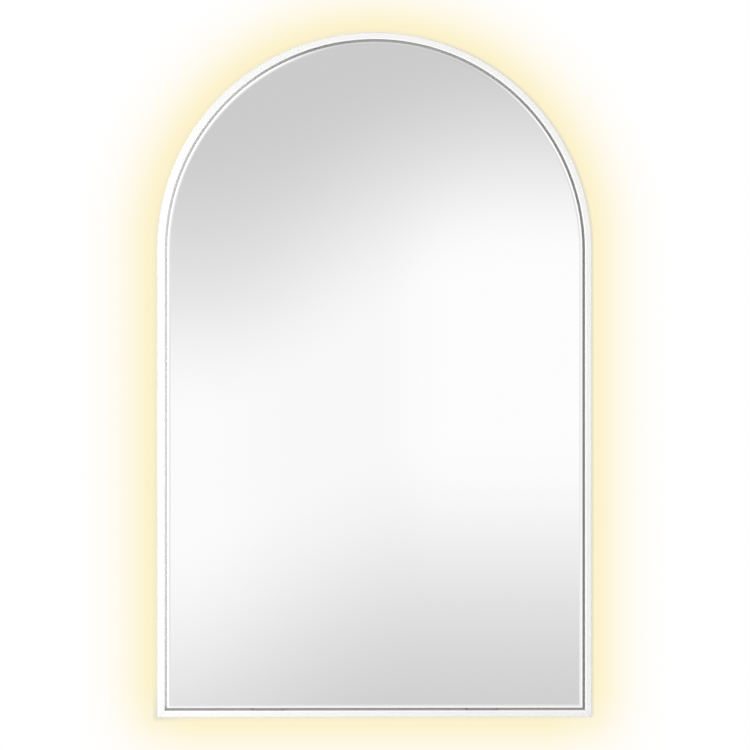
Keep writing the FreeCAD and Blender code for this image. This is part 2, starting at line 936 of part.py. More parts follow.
def make_terminal_block():
    """A row of terminals with a screw well over each pole and a wire mouth right through."""
    length, height, width = block_size
    x0, z0 = box_x - length / 2, box_z - width / 2
    y0 = panel_y + box_wall
    block = box_between((x0, x0 + length), (y0, y0 + height), (z0, z0 + width))
    pole = length / block_poles
    for i in range(block_poles):
        x = x0 + pole * (i + 0.5)
        span = (x - pole / 4, x + pole / 4)
        well = box_between(span, (y0 + height / 2, y0 + height), (z0 + width / 3, z0 + 2 * width / 3))
        mouth = box_between(span, (y0 + height / 6, y0 + height / 2), (z0, z0 + width))
        block = block.cut(group([well, mouth]))
    return block


def make_cord_bush():
    """A flanged square strain-relief bush in the box's lower wall, bored for the supply cord."""
    wall_z = box_span()[1][0]
    flange = bush_block(bush_flange, wall_z - bush_flange_thick, wall_z)
    body = bush_block(bush_body, wall_z, wall_z + box_wall + bush_tail)
    bx, by = bush_axis()
    length = bush_flange_thick + box_wall + bush_tail
    bore = Part.makeCylinder(bush_bore, length, vec(bx, by, wall_z - bush_flange_thick))
    return flange.fuse(body).removeSplitter().cut(bore)


# ---- Leads ----
def round_lead(points, radius):
    """A round lead along straight runs and arcs as large as its runs allow."""
    radii = [0.0]
    for before, corner, after in zip(points, points[1:], points[2:]):
        run = min((corner - before).Length, (after - corner).Length)
        turn = (corner - before).getAngle(after - corner)
        radii.append(0.45 * run / math.tan(turn / 2) if turn > 1e-6 else 0.0)
    radii.append(0.0)
    path = Part.Wire(rounded_edges(points, radii, False))
    start = (points[1] - points[0]).normalize()
    rim = Part.Wire([Part.makeCircle(radius, points[0], start)])
    lead = path.makePipeShell([rim], True, True)
    expected = math.pi * radius ** 2 * path.Length
    bends = ", ".join(f"{r:.0f}" for r in radii if r)
    print(f"lead: length {path.Length:.0f}, volume ratio {lead.Volume / expected:.4f}, bends {bends}")
    return lead


def mains_route():
    """From the driver to the junction box."""
    y, z = panel_y + lead_height, mains_lead_z()
    start = driver_span()[0][1] - driver_wall - board_clearance
    end = box_span()[0][0] + box_wall + lead_tail
    return [vec(start, y, z), vec(end, y, z)]


def light_route():
    """From the driver through the bush in the channel's web."""
    y, z = depth_y(channel_middle), driver_z
    start = driver_span()[0][0] + driver_wall + board_clearance
    end = lead_entry()[0] - channel_wall - web_bush_rim - strip_thick - lead_tail
    return [vec(start, y, z), vec(end, y, z)]


def clip_over(route, radius):
    """A bonded saddle clip that holds a lead in the middle of its run."""
    middle = (route[0] + route[-1]) * 0.5
    rise = middle.y - panel_y
    bore = radius + lead_clearance
    wide = bore + clip_wall
    foot = wide + clip_foot
    corners = [
        (-foot, 0),
        (foot, 0),
        (foot, clip_wall),
        (wide, clip_wall),
        (wide, rise + wide),
        (-wide, rise + wide),
        (-wide, clip_wall),
        (-foot, clip_wall),
    ]
    face = drawn_face(corners, lambda z, y: vec(middle.x - clip_length / 2, panel_y + y, middle.z + z))
    clip = face.extrude(vec(clip_length, 0, 0))
    window_y = (middle.y - bore, middle.y + bore)
    window_z = (middle.z - bore, middle.z + bore)
    window_x = (middle.x - clip_length, middle.x + clip_length)
    return clip.cut(box_between(window_x, window_y, window_z))


def make_clips():
    return group(
        [
            clip_over(mains_route(), mains_lead_radius),
            clip_over(light_route(), light_lead_radius),
        ]
    )


# ---- Build and write ----
def all_pieces():
    frame_arch, frame_bottom = make_frame()
    channel_arch, channel_bottom = make_channel()
    cover_arch, cover_bottom = mitred_pair(cover_section())
    return {
        "frame_arch": frame_arch,
        "frame_bottom_rail": frame_bottom,
        "corner_keys": make_corner_keys(),
        "mirror_glass": make_glass(),
        "safety_film": make_film(),
        "glazing_tape": make_tape(),
        "setting_blocks": make_setting_blocks(),
        "spacer_blocks": make_spacers(),
        "back_panel": make_panel(),
        "panel_rivets": make_panel_rivets(),
        "light_channel_arch": channel_arch,
        "light_channel_bottom": channel_bottom,
        "channel_rivets": make_channel_rivets(),
        "light_cover_arch": cover_arch,
        "light_cover_bottom": cover_bottom,
        "light_strip": make_strip(),
        "light_packages": make_packages(),
        "web_bush": make_web_bush(),
        "wall_rail": make_wall_rail(),
        "hanger_hook": make_hook(),
        "upper_crossbar": make_upper_crossbar(),
        "lower_crossbar": make_lower_crossbar(),
        "wall_bumpers": make_bumpers(),
        "driver_case": make_driver_case(),
        "driver_lid": make_driver_lid(),
        "driver_board": make_driver_board(),
        "housing_rivets": make_housing_rivets(),
        "junction_box": make_junction_box(),
        "junction_lid": make_junction_lid(),
        "terminal_block": make_terminal_block(),
        "cord_bush": make_cord_bush(),
        "mains_lead": round_lead(mains_route(), mains_lead_radius),
        "light_lead": round_lead(light_route(), light_lead_radius),
        "lead_clips": make_clips(),
    }


def main():
    os.makedirs("parts", exist_ok=True)
    for name, shape in all_pieces().items():
        shape.exportStep(f"parts/{name}.step")
        volume = shape.Volume / 1000
        print(f"{name}: {len(shape.Solids)} solids, {volume:.2f} cm3, valid {shape.isValid()}")
    print(f"lift travel {lift_travel:.2f}")


main()
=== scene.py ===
"""Looks of a backlit arched bathroom mirror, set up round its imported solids.

Each operator dresses one piece of the mirror, or a group of like pieces. Lengths are in metres,
+Z is up, the wall is the plane y = 0 and the glass faces -y.
"""

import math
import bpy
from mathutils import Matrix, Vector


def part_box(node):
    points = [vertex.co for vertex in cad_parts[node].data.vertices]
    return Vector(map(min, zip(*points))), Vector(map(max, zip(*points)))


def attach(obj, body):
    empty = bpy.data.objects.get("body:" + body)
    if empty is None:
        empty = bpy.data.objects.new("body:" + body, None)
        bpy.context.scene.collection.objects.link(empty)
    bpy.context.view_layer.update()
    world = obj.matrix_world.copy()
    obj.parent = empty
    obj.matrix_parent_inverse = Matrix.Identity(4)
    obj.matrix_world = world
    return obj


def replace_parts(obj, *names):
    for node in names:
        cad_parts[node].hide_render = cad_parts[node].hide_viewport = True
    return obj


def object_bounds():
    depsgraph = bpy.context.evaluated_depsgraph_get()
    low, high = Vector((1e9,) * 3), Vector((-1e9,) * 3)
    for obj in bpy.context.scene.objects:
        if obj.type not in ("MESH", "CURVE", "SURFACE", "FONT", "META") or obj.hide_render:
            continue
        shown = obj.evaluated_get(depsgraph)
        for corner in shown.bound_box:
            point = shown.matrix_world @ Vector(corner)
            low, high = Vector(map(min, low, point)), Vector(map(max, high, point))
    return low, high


bl_info = {
    "name": "Backlit Arched Mirror",
    "version": (1, 0, 0),
    "blender": (4, 5, 0),
    "location": "3D View > Sidebar > Mirror",
    "description": "Dresses a backlit arched bathroom mirror and sets its stage",
    "category": "Object",
}

from functools import partialmethod

import bmesh
import bpy
from bpy.props import FloatProperty, FloatVectorProperty, PointerProperty
from bpy.types import NodeSocket, Operator, Panel, PropertyGroup
from mathutils import Matrix, Vector

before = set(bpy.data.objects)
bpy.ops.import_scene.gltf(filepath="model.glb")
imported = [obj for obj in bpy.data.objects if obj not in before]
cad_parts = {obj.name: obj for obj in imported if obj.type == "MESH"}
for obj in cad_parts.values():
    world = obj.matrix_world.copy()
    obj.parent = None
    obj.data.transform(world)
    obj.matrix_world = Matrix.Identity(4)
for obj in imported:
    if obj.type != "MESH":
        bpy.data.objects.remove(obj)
cad_low, cad_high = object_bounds()

ROUND = 2 * math.pi
SKIN = 0.00003  # depth of a finish's own grain


# ---- Sizes and colours that a user would change ----
def length(name, description, default, least=-10.0):
    return FloatProperty(
        name=name, description=description, default=default, min=least, unit="LENGTH", subtype="DISTANCE")


def angle(name, description, degrees):
    return FloatProperty(
        name=name, description=description, default=math.radians(degrees), unit="ROTATION", subtype="ANGLE")


def tint(name, description, *default):
    return FloatVectorProperty(
        name=name, description=description, default=default, min=0, max=1, subtype="COLOR")


class MirrorSizes(PropertyGroup):
    """Sizes of the mirror's small pieces and of its finishes."""

    half_width: length("Half Width", "Half the mirror's width", cad_high.x, 0.05)
    foot: length("Lower Edge", "Height of the mirror's lower edge", cad_low.z)
    arch_centre: length("Arch Centre", "Height of the arch's centre", cad_high.z - cad_high.x)
    lip_edge: length("Lip Edge", "Where the frame's lip ends, from the mirror's outline", 0.0096, 0.001)
    facet_end: length("Facet End", "Where the bevel's outer facet ends, from the outline", 0.0156, 0.013)
    paint_round: length("Paint Rounding", "Radius to which the coat softens the frame's edges", 0.0005, 0)
    rivet_head: length("Rivet Head", "Diameter of a snap rivet's round head", 0.0085, 0.003)
    rivet_dome: length("Rivet Dome", "Height of a snap rivet's head", 0.0017, 0.0005)
    screw_head: length("Screw Head", "Diameter of the lid screws' pan heads", 0.0062, 0.002)
    screw_rise: length("Screw Rise", "Height of the lid screws' pan heads", 0.0019, 0.0005)
    terminal_screw: length("Terminal Screw", "Diameter of a terminal's screw", 0.0042, 0.002)
    weld_spot: length("Weld Spot", "Diameter of a spot weld's pressed ring", 0.0056, 0.002)
    weld_pitch: length("Weld Pitch", "Distance between spot welds along a flange", 0.058, 0.01)
    light_pitch: length("Light Pitch", "Distance between the lights behind the milky cover", 0.0275, 0.005)


class MirrorColours(PropertyGroup):
    """Colours of the mirror's finishes."""

    paint: tint("Powder Coat", "White powder coat of the frame", 0.86, 0.86, 0.855)
    # painted highlight: this paler white on the lip's bevel stands in for the light that the bevel catches
    painted_bevel_highlight: tint("Bevel Painted Highlight", "Where the coat lies thicker, on the lip's bevel", 0.93, 0.93, 0.925)
    silver: tint("Silvering", "Tint of the mirror's reflection", 0.986, 0.986, 0.986)
    glass_edge: tint("Glass Edge", "Green of the ground glass edge", 0.66, 0.71, 0.69)
    mirror_back: tint("Mirror Backing", "Protective paint behind the silver", 0.30, 0.31, 0.33)
    zinc: tint("Zinc", "Galvanised steel", 0.62, 0.64, 0.66)
    aluminium: tint("Aluminium", "Anodised light channel", 0.76, 0.77, 0.78)
    glow: tint("Glow", "Warm light of the milky cover", 1.0, 0.79, 0.42)
    opal: tint("Milky Cover", "Milky plastic of the light cover", 0.36, 0.34, 0.28)
    nylon: tint("Nylon", "Natural nylon of rivets and clips", 0.80, 0.79, 0.74)
    housing: tint("Housings", "Light grey plastic of the driver and the junction box", 0.66, 0.67, 0.67)
    silicone: tint("Silicone", "Grey silicone of the blocks under the glass", 0.285, 0.285, 0.285)
    rubber: tint("Rubber", "Rubber of the wall buffers", 0.028, 0.028, 0.029)
    foam: tint("Foam", "Closed-cell foam of tape and spacer blocks", 0.045, 0.045, 0.048)
    board: tint("Circuit Board", "Green lacquer of the driver's board", 0.02, 0.14, 0.06)
    brass: tint("Brass", "Terminal screws", 0.72, 0.52, 0.24)


class MirrorStage(PropertyGroup):
    """The wall with its halo, the floor, the light screen, the lamps and the camera."""

    distance: length("Camera Distance", "From the camera to the frame's face", 20.0, 1)
    view_turn: angle("View Turn", "How far the camera stands to the left of straight ahead", 4.6)
    view_rise: angle("View Rise", "How far the camera stands above straight ahead", -0.4)
    view_height: length("View Height", "Height that the picture shows at the frame's face", 1.0510, 0.2)
    view_side: length("View Centre Across", "x of the picture's centre", -0.0002)
    view_middle: length("View Centre Height", "z of the picture's centre", -0.2104)
    floor_drop: length("Floor Drop", "Floor below the mirror's lower edge", 0.62, 0.1)
    screen_distance: length("Screen Distance", "From the glass to the screen that it reflects", 2.5, 0.5)
    halo_reach: length("Halo Reach", "How far the warm halo spreads on the wall", 0.112, 0.01)
    halo_near: tint("Halo Near", "The wall right beside the frame", 0.975, 0.893, 0.615)
    halo_middle: tint("Halo Middle", "The wall about 28 mm from the frame", 0.991, 0.925, 0.728)
    halo_shade: tint("Halo Shade", "The frame's narrow shadow on the wall", 0.72, 0.69, 0.56)
    wall: tint("Wall", "The plain wall", 1.0, 1.0, 1.0)
    floor: tint("Floor", "The plain pale floor", 0.80, 0.80, 0.79)
    backdrop: tint("Backdrop", "What surrounds the stage", 0.93, 0.93, 0.93)


def sizes():
    return bpy.context.scene.mirror_sizes


def colours():
    return bpy.context.scene.mirror_colours


# ---- Shader trees ----
class Tree:
    """Adds shader nodes, feeds their sockets and sets them out in columns.

    Textures lie on the tree's own coordinates unless they are given others.
    """

    def __init__(self, tree):
        self.tree = tree
        self.count = 0
        self.coordinates = None

    def add(self, kind, feeds=None, **settings):
        node = self.tree.nodes.new(kind)
        node.location = (230 * (self.count // 4), -270 * (self.count % 4))
        self.count += 1
        for name, value in settings.items():
            setattr(node, name, value)
        for name, value in (feeds or {}).items():
            self.feed(node.inputs[name], value)
        return node

    def feed(self, socket, value):
        if isinstance(value, NodeSocket):
            self.tree.links.new(value, socket)
        elif socket.type == "RGBA":
            socket.default_value = (*tuple(value)[:3], 1.0)
        else:
            socket.default_value = value

    def calc(self, operation, first, *others, clamp=False):
        """Works out one value, or any number of values from left to right."""
        for other in others or (0.0,):
            node = self.add("ShaderNodeMath", {0: first, 1: other}, operation=operation, use_clamp=clamp)
            first = node.outputs[0]
        return first

    times = partialmethod(calc, "MULTIPLY")
    plus = partialmethod(calc, "ADD")
    minus = partialmethod(calc, "SUBTRACT")

    def diagonal(self, x, y):
        """The length of a line that runs x one way and y the other."""
        return self.calc("SQRT", self.plus(self.times(x, x), self.times(y, y)))

    def off_middle(self, place, low, high):
        """How far a place is from the middle between low and high."""
        return self.calc("ABSOLUTE", self.minus(place, (low + high) / 2))

    def span(self, value, low, high, to_low=0.0, to_high=1.0, kind="LINEAR"):
        """Maps low...high to to_low...to_high and stops at both ends."""
        feeds = {"Value": value, "From Min": low, "From Max": high, "To Min": to_low, "To Max": to_high}
        return self.add("ShaderNodeMapRange", feeds, interpolation_type=kind).outputs[0]

    ease = partialmethod(span, kind="SMOOTHSTEP")

    def noise(self, scale, detail=2.0, roughness=0.5, vector=None):
        feeds = {"Vector": vector or self.coordinates, "Scale": scale, "Detail": detail}
        return self.add("ShaderNodeTexNoise", {**feeds, "Roughness": roughness}).outputs["Fac"]

    def mottle(self, scale, detail, low, high, vector=None):
        """Soft patches that run from low to high."""
        return self.span(self.noise(scale, detail, vector=vector), 0.3, 0.7, low, high)

    def cells(self, scale, feature="F1", vector=None):
        feeds = {"Vector": vector or self.coordinates, "Scale": scale}
        return self.add("ShaderNodeTexVoronoi", feeds, feature=feature).outputs

    def mix(self, factor, first, second, blend="MIX"):
        feeds = {0: factor, 6: first, 7: second}
        return self.add("ShaderNodeMix", feeds, data_type="RGBA", blend_type=blend).outputs[2]

    def toned(self, colour, tone):
        return self.mix(1.0, colour, self.grey(tone), "MULTIPLY")

    def ramp(self, value, stops):
        node = self.add("ShaderNodeValToRGB", {"Fac": value})
        elements = node.color_ramp.elements
        while len(elements) < len(stops):
            elements.new(0.5)
        for element, (place, colour) in zip(elements, stops):
            element.position = place
            element.color = (*tuple(colour)[:3], 1.0)
        return node.outputs["Color"]

    def normal(self):
        return self.add("ShaderNodeNewGeometry").outputs["Normal"]

    def mapped(self, **feeds):
        return self.add("ShaderNodeMapping", {"Vector": self.coordinates, **feeds}).outputs[0]

    def parts(self, vector=None):
        return self.add("ShaderNodeSeparateXYZ", {"Vector": vector or self.coordinates}).outputs

    def joined(self, x, y, z):
        return self.add("ShaderNodeCombineXYZ", {"X": x, "Y": y, "Z": z}).outputs[0]

    def grey(self, tone):
        return self.joined(tone, tone, tone)

    def vectors(self, operation, first, second=(0.0, 0.0, 0.0), result="Vector"):
        return self.add("ShaderNodeVectorMath", {0: first, 1: second}, operation=operation).outputs[result]

    def relief(self, height, depth=SKIN, normal=None):
        feeds = {"Height": height, "Distance": depth, "Strength": 1.0}
        if normal is not None:
            feeds["Normal"] = normal
        return self.add("ShaderNodeBump", feeds).outputs[0]

    def effect(self, name, *values, vector=None):
        """One of the shared effects, with its values in the order of the table's inputs."""
        feeds = {"Vector": vector or self.coordinates, **dict(zip(EFFECTS[name][1:], values))}
        return self.add("ShaderNodeGroup", feeds, node_tree=shared_effect(name)).outputs

    def outline(self, vector=None):
        """A point's place by the mirror's outline."""
        s = sizes()
        return self.effect("Outline Place", s.half_width, s.foot, s.arch_centre, vector=vector)

    def emission(self, colour):
        return self.add("ShaderNodeEmission", {"Color": colour, "Strength": 1.0})

    def choose(self, factor, first, second):
        return self.add("ShaderNodeMixShader", {0: factor, 1: first.outputs[0], 2: second.outputs[0]})

    def show(self, shader, kind="ShaderNodeOutputMaterial"):
        self.add(kind, {"Surface": shader.outputs[0]})


# ---- Effects that more than one finish uses ----
def outline_place(tree, source):
    """Distance inside the mirror's outline and distance run along it."""
    x, _, z = tree.parts()
    rise = tree.minus(z, source["Arch Centre"])
    above = tree.calc("MAXIMUM", rise, 0.0)
    from_side = tree.minus(source["Half Width"], tree.diagonal(x, above))
    from_foot = tree.minus(z, source["Foot"])
    inside = tree.calc("MAXIMUM", tree.calc("MINIMUM", from_side, from_foot), 0.0)
    past = tree.diagonal(tree.calc("MINIMUM", from_side, 0.0), tree.calc("MINIMUM", from_foot, 0.0))
    turn = tree.calc("ARCTAN2", above, x)
    leg = tree.times(tree.calc("SIGN", x), tree.calc("MINIMUM", rise, 0.0))
    run = tree.plus(tree.times(turn, source["Half Width"]), leg)
    return {"Inset": tree.minus(inside, past), "Run": run}


def powder_coat(tree, source):
    """Sprayed and baked powder: fine orange peel and a faintly uneven tone."""
    coarse, fine = tree.noise(430.0, 1.5), tree.noise(1700.0, 1.0)
    return {
        "Colour": tree.toned(source["Colour"], tree.mottle(11.0, 3.0, 0.985, 1.0)),
        "Roughness": tree.mottle(37.0, 3.0, 0.30, 0.38),
        "Height": tree.plus(tree.times(coarse, 0.75), tree.times(fine, 0.25))}


def edge_wear(tree, source):
    """Where edges are rubbed, and the normal of softly rounded edges."""
    rounded = tree.add("ShaderNodeBevel", {"Radius": source["Width"]}, samples=6).outputs[0]
    bend = tree.span(tree.vectors("DOT_PRODUCT", tree.normal(), rounded, "Value"), 0.995, 0.80)
    chance = tree.span(tree.noise(160.0, 4.0, 0.65), 0.38, 0.72)
    return {"Mask": tree.times(bend, chance, source["Amount"], clamp=True), "Normal": rounded}


def dust(tree, source):
    """Fine dust on whatever faces up."""
    up = tree.ease(tree.parts(tree.normal())[2], 0.25, 1.0)
    patches = tree.span(tree.noise(85.0, 6.0, 0.7), 0.35, 0.75)
    return {"Mask": tree.times(up, patches, source["Amount"], clamp=True)}


def drawn_grain(tree, source):
    """Fine lines left by rolling or drawing, along the vector's x."""
    fine = tree.noise(1.0, 3.0, 0.6, tree.mapped(Scale=(14.0, 2600.0, 2600.0)))
    broad = tree.noise(1.0, vector=tree.mapped(Scale=(4.0, 700.0, 700.0)))
    height = tree.plus(tree.times(fine, 0.6), tree.times(broad, 0.4))
    return {"Tone": tree.span(height, 0.3, 0.7, 0.9, 1.05), "Height": height}


def zinc_spangle(tree, source):
    """Crystals of hot-dipped zinc: each cell has its own tone and gloss."""
    warp = tree.times(tree.noise(60.0), 0.006)
    shifted = tree.vectors("ADD", tree.coordinates, tree.joined(warp, 0.0, 0.0))
    shade = tree.parts(tree.cells(source["Scale"], vector=shifted)["Color"])
    feather = tree.mottle(1.0, 3.0, -0.05, 0.05, tree.mapped(Scale=(240.0, 240.0, 900.0)))
    return {
        "Tone": tree.plus(tree.span(shade[0], 0.0, 1.0, 0.86, 1.02), feather),
        "Roughness": tree.span(shade[1], 0.0, 1.0, 0.36, 0.56)}


def mould_grain(tree, source):
    """The fine spark-eroded skin of a moulded part."""
    cell = tree.cells(source["Scale"], "SMOOTH_F1")["Distance"]
    return {"Height": cell, "Tone": tree.mottle(55.0, 3.0, 0.96, 1.02)}


def handling_marks(tree, source):
    """Faint rubs and smears from hands and packing."""
    smear = tree.noise(1.0, 5.0, 0.6, tree.mapped(Scale=(6.0, 6.0, 17.0), Rotation=(0.3, 0.5, 0.2)))
    hairs = tree.noise(1.0, vector=tree.mapped(Scale=(900.0, 30.0, 60.0), Rotation=(0.0, 0.9, 0.4)))
    rub = tree.times(tree.span(smear, 0.5, 0.75), tree.span(hairs, 0.55, 0.7))
    film = tree.plus(tree.times(tree.span(smear, 0.4, 0.8), 0.4), rub)
    return {"Mask": tree.times(film, source["Amount"], clamp=True)}


# each effect's builder, and its inputs besides the vector
EFFECTS = {
    "Outline Place": (outline_place, "Half Width", "Foot", "Arch Centre"),
    "Powder Coat": (powder_coat, "Colour"),
    "Edge Wear": (edge_wear, "Amount", "Width"),
    "Dust": (dust, "Amount"),
    "Drawn Grain": (drawn_grain,),
    "Zinc Spangle": (zinc_spangle, "Scale"),
    "Mould Grain": (mould_grain, "Scale"),
    "Handling Marks": (handling_marks, "Amount"),
}
SOCKET_KINDS = {"Vector": "NodeSocketVector", "Normal": "NodeSocketVector", "Colour": "NodeSocketColor"}


def add_sockets(group, titles, side):
    for title in titles:
        kind = SOCKET_KINDS.get(title, "NodeSocketFloat")
        group.interface.new_socket(name=title, in_out=side, socket_type=kind)


def shared_effect(name):
    """Builds a shared effect once, as a node group with named sockets."""
    group = bpy.data.node_groups.get(name)
    if group:
        return group
    build, *inputs = EFFECTS[name]
    group = bpy.data.node_groups.new(name, "ShaderNodeTree")
    add_sockets(group, ("Vector", *inputs), "INPUT")
    tree = Tree(group)
    source = tree.add("NodeGroupInput").outputs
    tree.coordinates = source["Vector"]
    made = build(tree, source)
    add_sockets(group, made, "OUTPUT")
    tree.add("NodeGroupOutput", made)
    return group


# ---- Finishes ----
def fresh_tree(holder):
    """An empty shader tree for a material or the world."""
    holder.use_nodes = True
    holder.node_tree.nodes.clear()
    return Tree(holder.node_tree)


def blank_material(name):
    material = bpy.data.materials.new(name)
    tree = fresh_tree(material)
    tree.coordinates = tree.add("ShaderNodeTexCoord").outputs["Object"]
    return material, tree


def surface(name, recipe):
    """A material made once: recipe(tree) gives the Principled BSDF's feeds."""
    material = bpy.data.materials.get(name)
    if not material:
        material, tree = blank_material(name)
        tree.show(tree.add("ShaderNodeBsdfPrincipled", recipe(tree)))
    return material


def finish(name):
    """Turns a recipe into a function that gives its material."""
    return lambda recipe: lambda: surface(name, recipe)


@finish("white_powder_coat")
def white_coat(tree):
    """White powder coat with a painted highlight on the lip's bevel. Painted shade darkens the shadow gap's
    walls, and painted light makes them lighter on the left.
    """
    s, c = sizes(), colours()
    coat = tree.effect("Powder Coat", c.paint)
    wear = tree.effect("Edge Wear", 0.35, s.paint_round)
    grime = tree.effect("Dust", 0.14)["Mask"]
    marks = tree.effect("Handling Marks", 0.5)["Mask"]
    facing = tree.times(tree.parts(tree.normal())[1], -1.0)
    # painted highlight: faces that slope inward like the lip's bevel get the paler white
    bevel = tree.times(tree.span(facing, 0.985, 0.96), tree.span(facing, 0.88, 0.91))
    colour = tree.mix(bevel, coat["Colour"], c.painted_bevel_highlight)
    inset = tree.outline()["Inset"]
    x, y, z = tree.parts()
    # painted shade darkens the walls of the shadow gap; on the left side painted light makes them lighter
    # than the coat
    past_lip = tree.span(inset, s.lip_edge - 0.0006, s.lip_edge)
    painted_gap_shade = tree.times(past_lip, tree.span(y, cad_low.y + 0.0004, cad_low.y + 0.0012),
                        tree.span(inset, 0.0150, 0.0140))
    left = tree.times(tree.span(x, -0.09, -0.19), tree.span(z, s.foot + 0.012, s.foot + 0.016))
    colour = tree.toned(colour, tree.span(painted_gap_shade, 0.0, 1.0, 1.0, tree.span(left, 0.0, 1.0, 0.66, 1.16)))
    colour = tree.mix(wear["Mask"], colour, (0.62, 0.62, 0.61))
    gloss = tree.plus(coat["Roughness"], tree.times(marks, 0.10), tree.times(grime, 0.4))
    return {"Base Color": tree.mix(grime, colour, (0.58, 0.56, 0.52)), "Roughness": gloss,
            "Normal": tree.relief(coat["Height"], 0.00004, wear["Normal"])}


@finish("silvered_glass")
def silvered_glass(tree):
    """Silver with ground edges and a painted back. The bevel's outer facet is steeper."""
    c, facet = colours(), sizes().facet_end
    faces = tree.parts(tree.normal())[1]
    edge = tree.calc("LESS_THAN", tree.calc("ABSOLUTE", faces), 0.5)
    behind = tree.calc("GREATER_THAN", faces, 0.5)
    marks = tree.effect("Handling Marks", 0.6)["Mask"]
    rounded = tree.effect("Edge Wear", 0.2, 0.0007)["Normal"]
    ground = tree.mottle(1.0, 3.0, 0.75, 1.1, tree.mapped(Scale=(900.0, 300.0, 900.0)))
    colour = tree.mix(edge, c.silver, tree.toned(c.glass_edge, ground))
    paint = tree.toned(c.mirror_back, tree.mottle(24.0, 4.0, 0.85, 1.1))
    tilt = tree.span(tree.outline()["Inset"], facet + 0.0002, facet - 0.0002, 1.0, 1.6)
    steep = tree.vectors("MULTIPLY", rounded, tree.joined(tilt, 1.0, tilt))
    return {
        "Base Color": tree.mix(behind, colour, paint),
        "Metallic": tree.minus(1.0, tree.calc("MAXIMUM", edge, behind)),
        "Roughness": tree.plus(tree.times(marks, 0.02), tree.times(edge, 0.32), tree.times(behind, 0.6)),
        "Normal": tree.vectors("NORMALIZE", steep)}


def bare_metal(colour, gloss, normal):
    return {"Base Color": colour, "Metallic": 1.0, "Roughness": gloss, "Normal": normal}


@finish("galvanised_sheet")
def galvanised(tree):
    """Zinc spangle, bright where edges are rubbed and white-stained in patches."""
    zinc = tree.effect("Zinc Spangle", 105.0)
    wear = tree.effect("Edge Wear", 0.6, 0.0006)
    marks = tree.effect("Handling Marks", 0.8)["Mask"]
    colour = tree.mix(wear["Mask"], tree.toned(colours().zinc, zinc["Tone"]), (0.80, 0.81, 0.82))
    stain = tree.span(tree.noise(7.0, 4.0), 0.55, 0.8, 0.0, 0.35)
    return bare_metal(
        tree.mix(stain, colour, (0.70, 0.70, 0.68)), tree.plus(zinc["Roughness"], tree.times(marks, 0.12)),
        tree.relief(tree.noise(520.0, 3.0), normal=wear["Normal"]))


@finish("zinc_plated_steel")
def plated(tree):
    """Drawn steel with the blue and straw tints of its plating."""
    grain = tree.effect("Drawn Grain")
    wear = tree.effect("Edge Wear", 0.7, 0.0005)
    tint_mask = tree.span(tree.noise(19.0, 3.0), 0.35, 0.65)
    colour = tree.toned(tree.mix(tint_mask, (0.60, 0.64, 0.70), (0.69, 0.68, 0.62)), grain["Tone"])
    colour = tree.mix(wear["Mask"], colour, (0.82, 0.82, 0.81))
    return bare_metal(colour, tree.mottle(90.0, 3.0, 0.26, 0.40),
                      tree.relief(grain["Height"], normal=wear["Normal"]))


@finish("anodised_channel")
def anodised(tree):
    """Extruded aluminium: its lines follow the channel round the arch."""
    place = tree.outline()
    grain = tree.effect("Drawn Grain", vector=tree.joined(place["Run"], place["Inset"], tree.parts()[1]))
    wear = tree.effect("Edge Wear", 0.5, 0.0004)
    colour = tree.mix(wear["Mask"], tree.toned(colours().aluminium, grain["Tone"]), (0.90, 0.90, 0.90))
    return bare_metal(colour, tree.span(grain["Height"], 0.3, 0.7, 0.30, 0.42),
                      tree.relief(grain["Height"], normal=wear["Normal"]))


@finish("milky_cover")
def milky_cover(tree):
    """Glows warm, a little brighter over each light behind it."""
    c = colours()
    low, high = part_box("light_cover_arch")
    beat = tree.calc("COSINE", tree.times(tree.outline()["Run"], ROUND / sizes().light_pitch))
    core = tree.ease(tree.off_middle(tree.parts()[1], low.y, high.y), 0.0065, 0.001)
    spot = tree.times(tree.span(beat, -1.0, 1.0, 0.0, 0.22), core)
    level = tree.plus(tree.times(core, 0.22), 0.56, spot)
    grain = tree.effect("Mould Grain", 1500.0)
    return {
        "Base Color": tree.toned(c.opal, grain["Tone"]), "Roughness": 0.42,
        "Emission Color": tree.toned(c.glow, level), "Emission Strength": 0.9,
        "Normal": tree.relief(grain["Height"])}


@finish("light_strip_lacquer")
def light_strip(tree):
    """White lacquered circuit strip with copper pads and cut lines at a steady pitch."""
    low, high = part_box("light_strip")
    step = tree.calc("FRACT", tree.calc("DIVIDE", tree.outline()["Run"], sizes().light_pitch))
    near = tree.off_middle(step, 0.0, 1.0)
    off = tree.off_middle(tree.parts()[1], low.y, high.y)
    pad_row = tree.times(tree.calc("GREATER_THAN", off, 0.0022), tree.calc("LESS_THAN", off, 0.0042))
    pad = tree.times(tree.calc("LESS_THAN", near, 0.07), pad_row)
    cut = tree.calc("LESS_THAN", near, 0.006)
    colour = tree.toned((0.84, 0.83, 0.78), tree.mottle(240.0, 3.0, 0.93, 1.0))
    colour = tree.mix(pad, colour, (0.78, 0.48, 0.28))
    return {"Base Color": tree.mix(cut, colour, (0.25, 0.25, 0.24)), "Metallic": pad,
            "Roughness": tree.span(pad, 0.0, 1.0, 0.45, 0.28)}


@finish("phosphor")
def light_package(tree):
    speck = tree.mottle(2600.0, 3.0, 0.85, 1.0)
    return {
        "Base Color": tree.toned((0.92, 0.74, 0.22), speck), "Roughness": 0.3,
        "Emission Color": tree.toned((1.0, 0.82, 0.50), speck), "Emission Strength": 4.0}


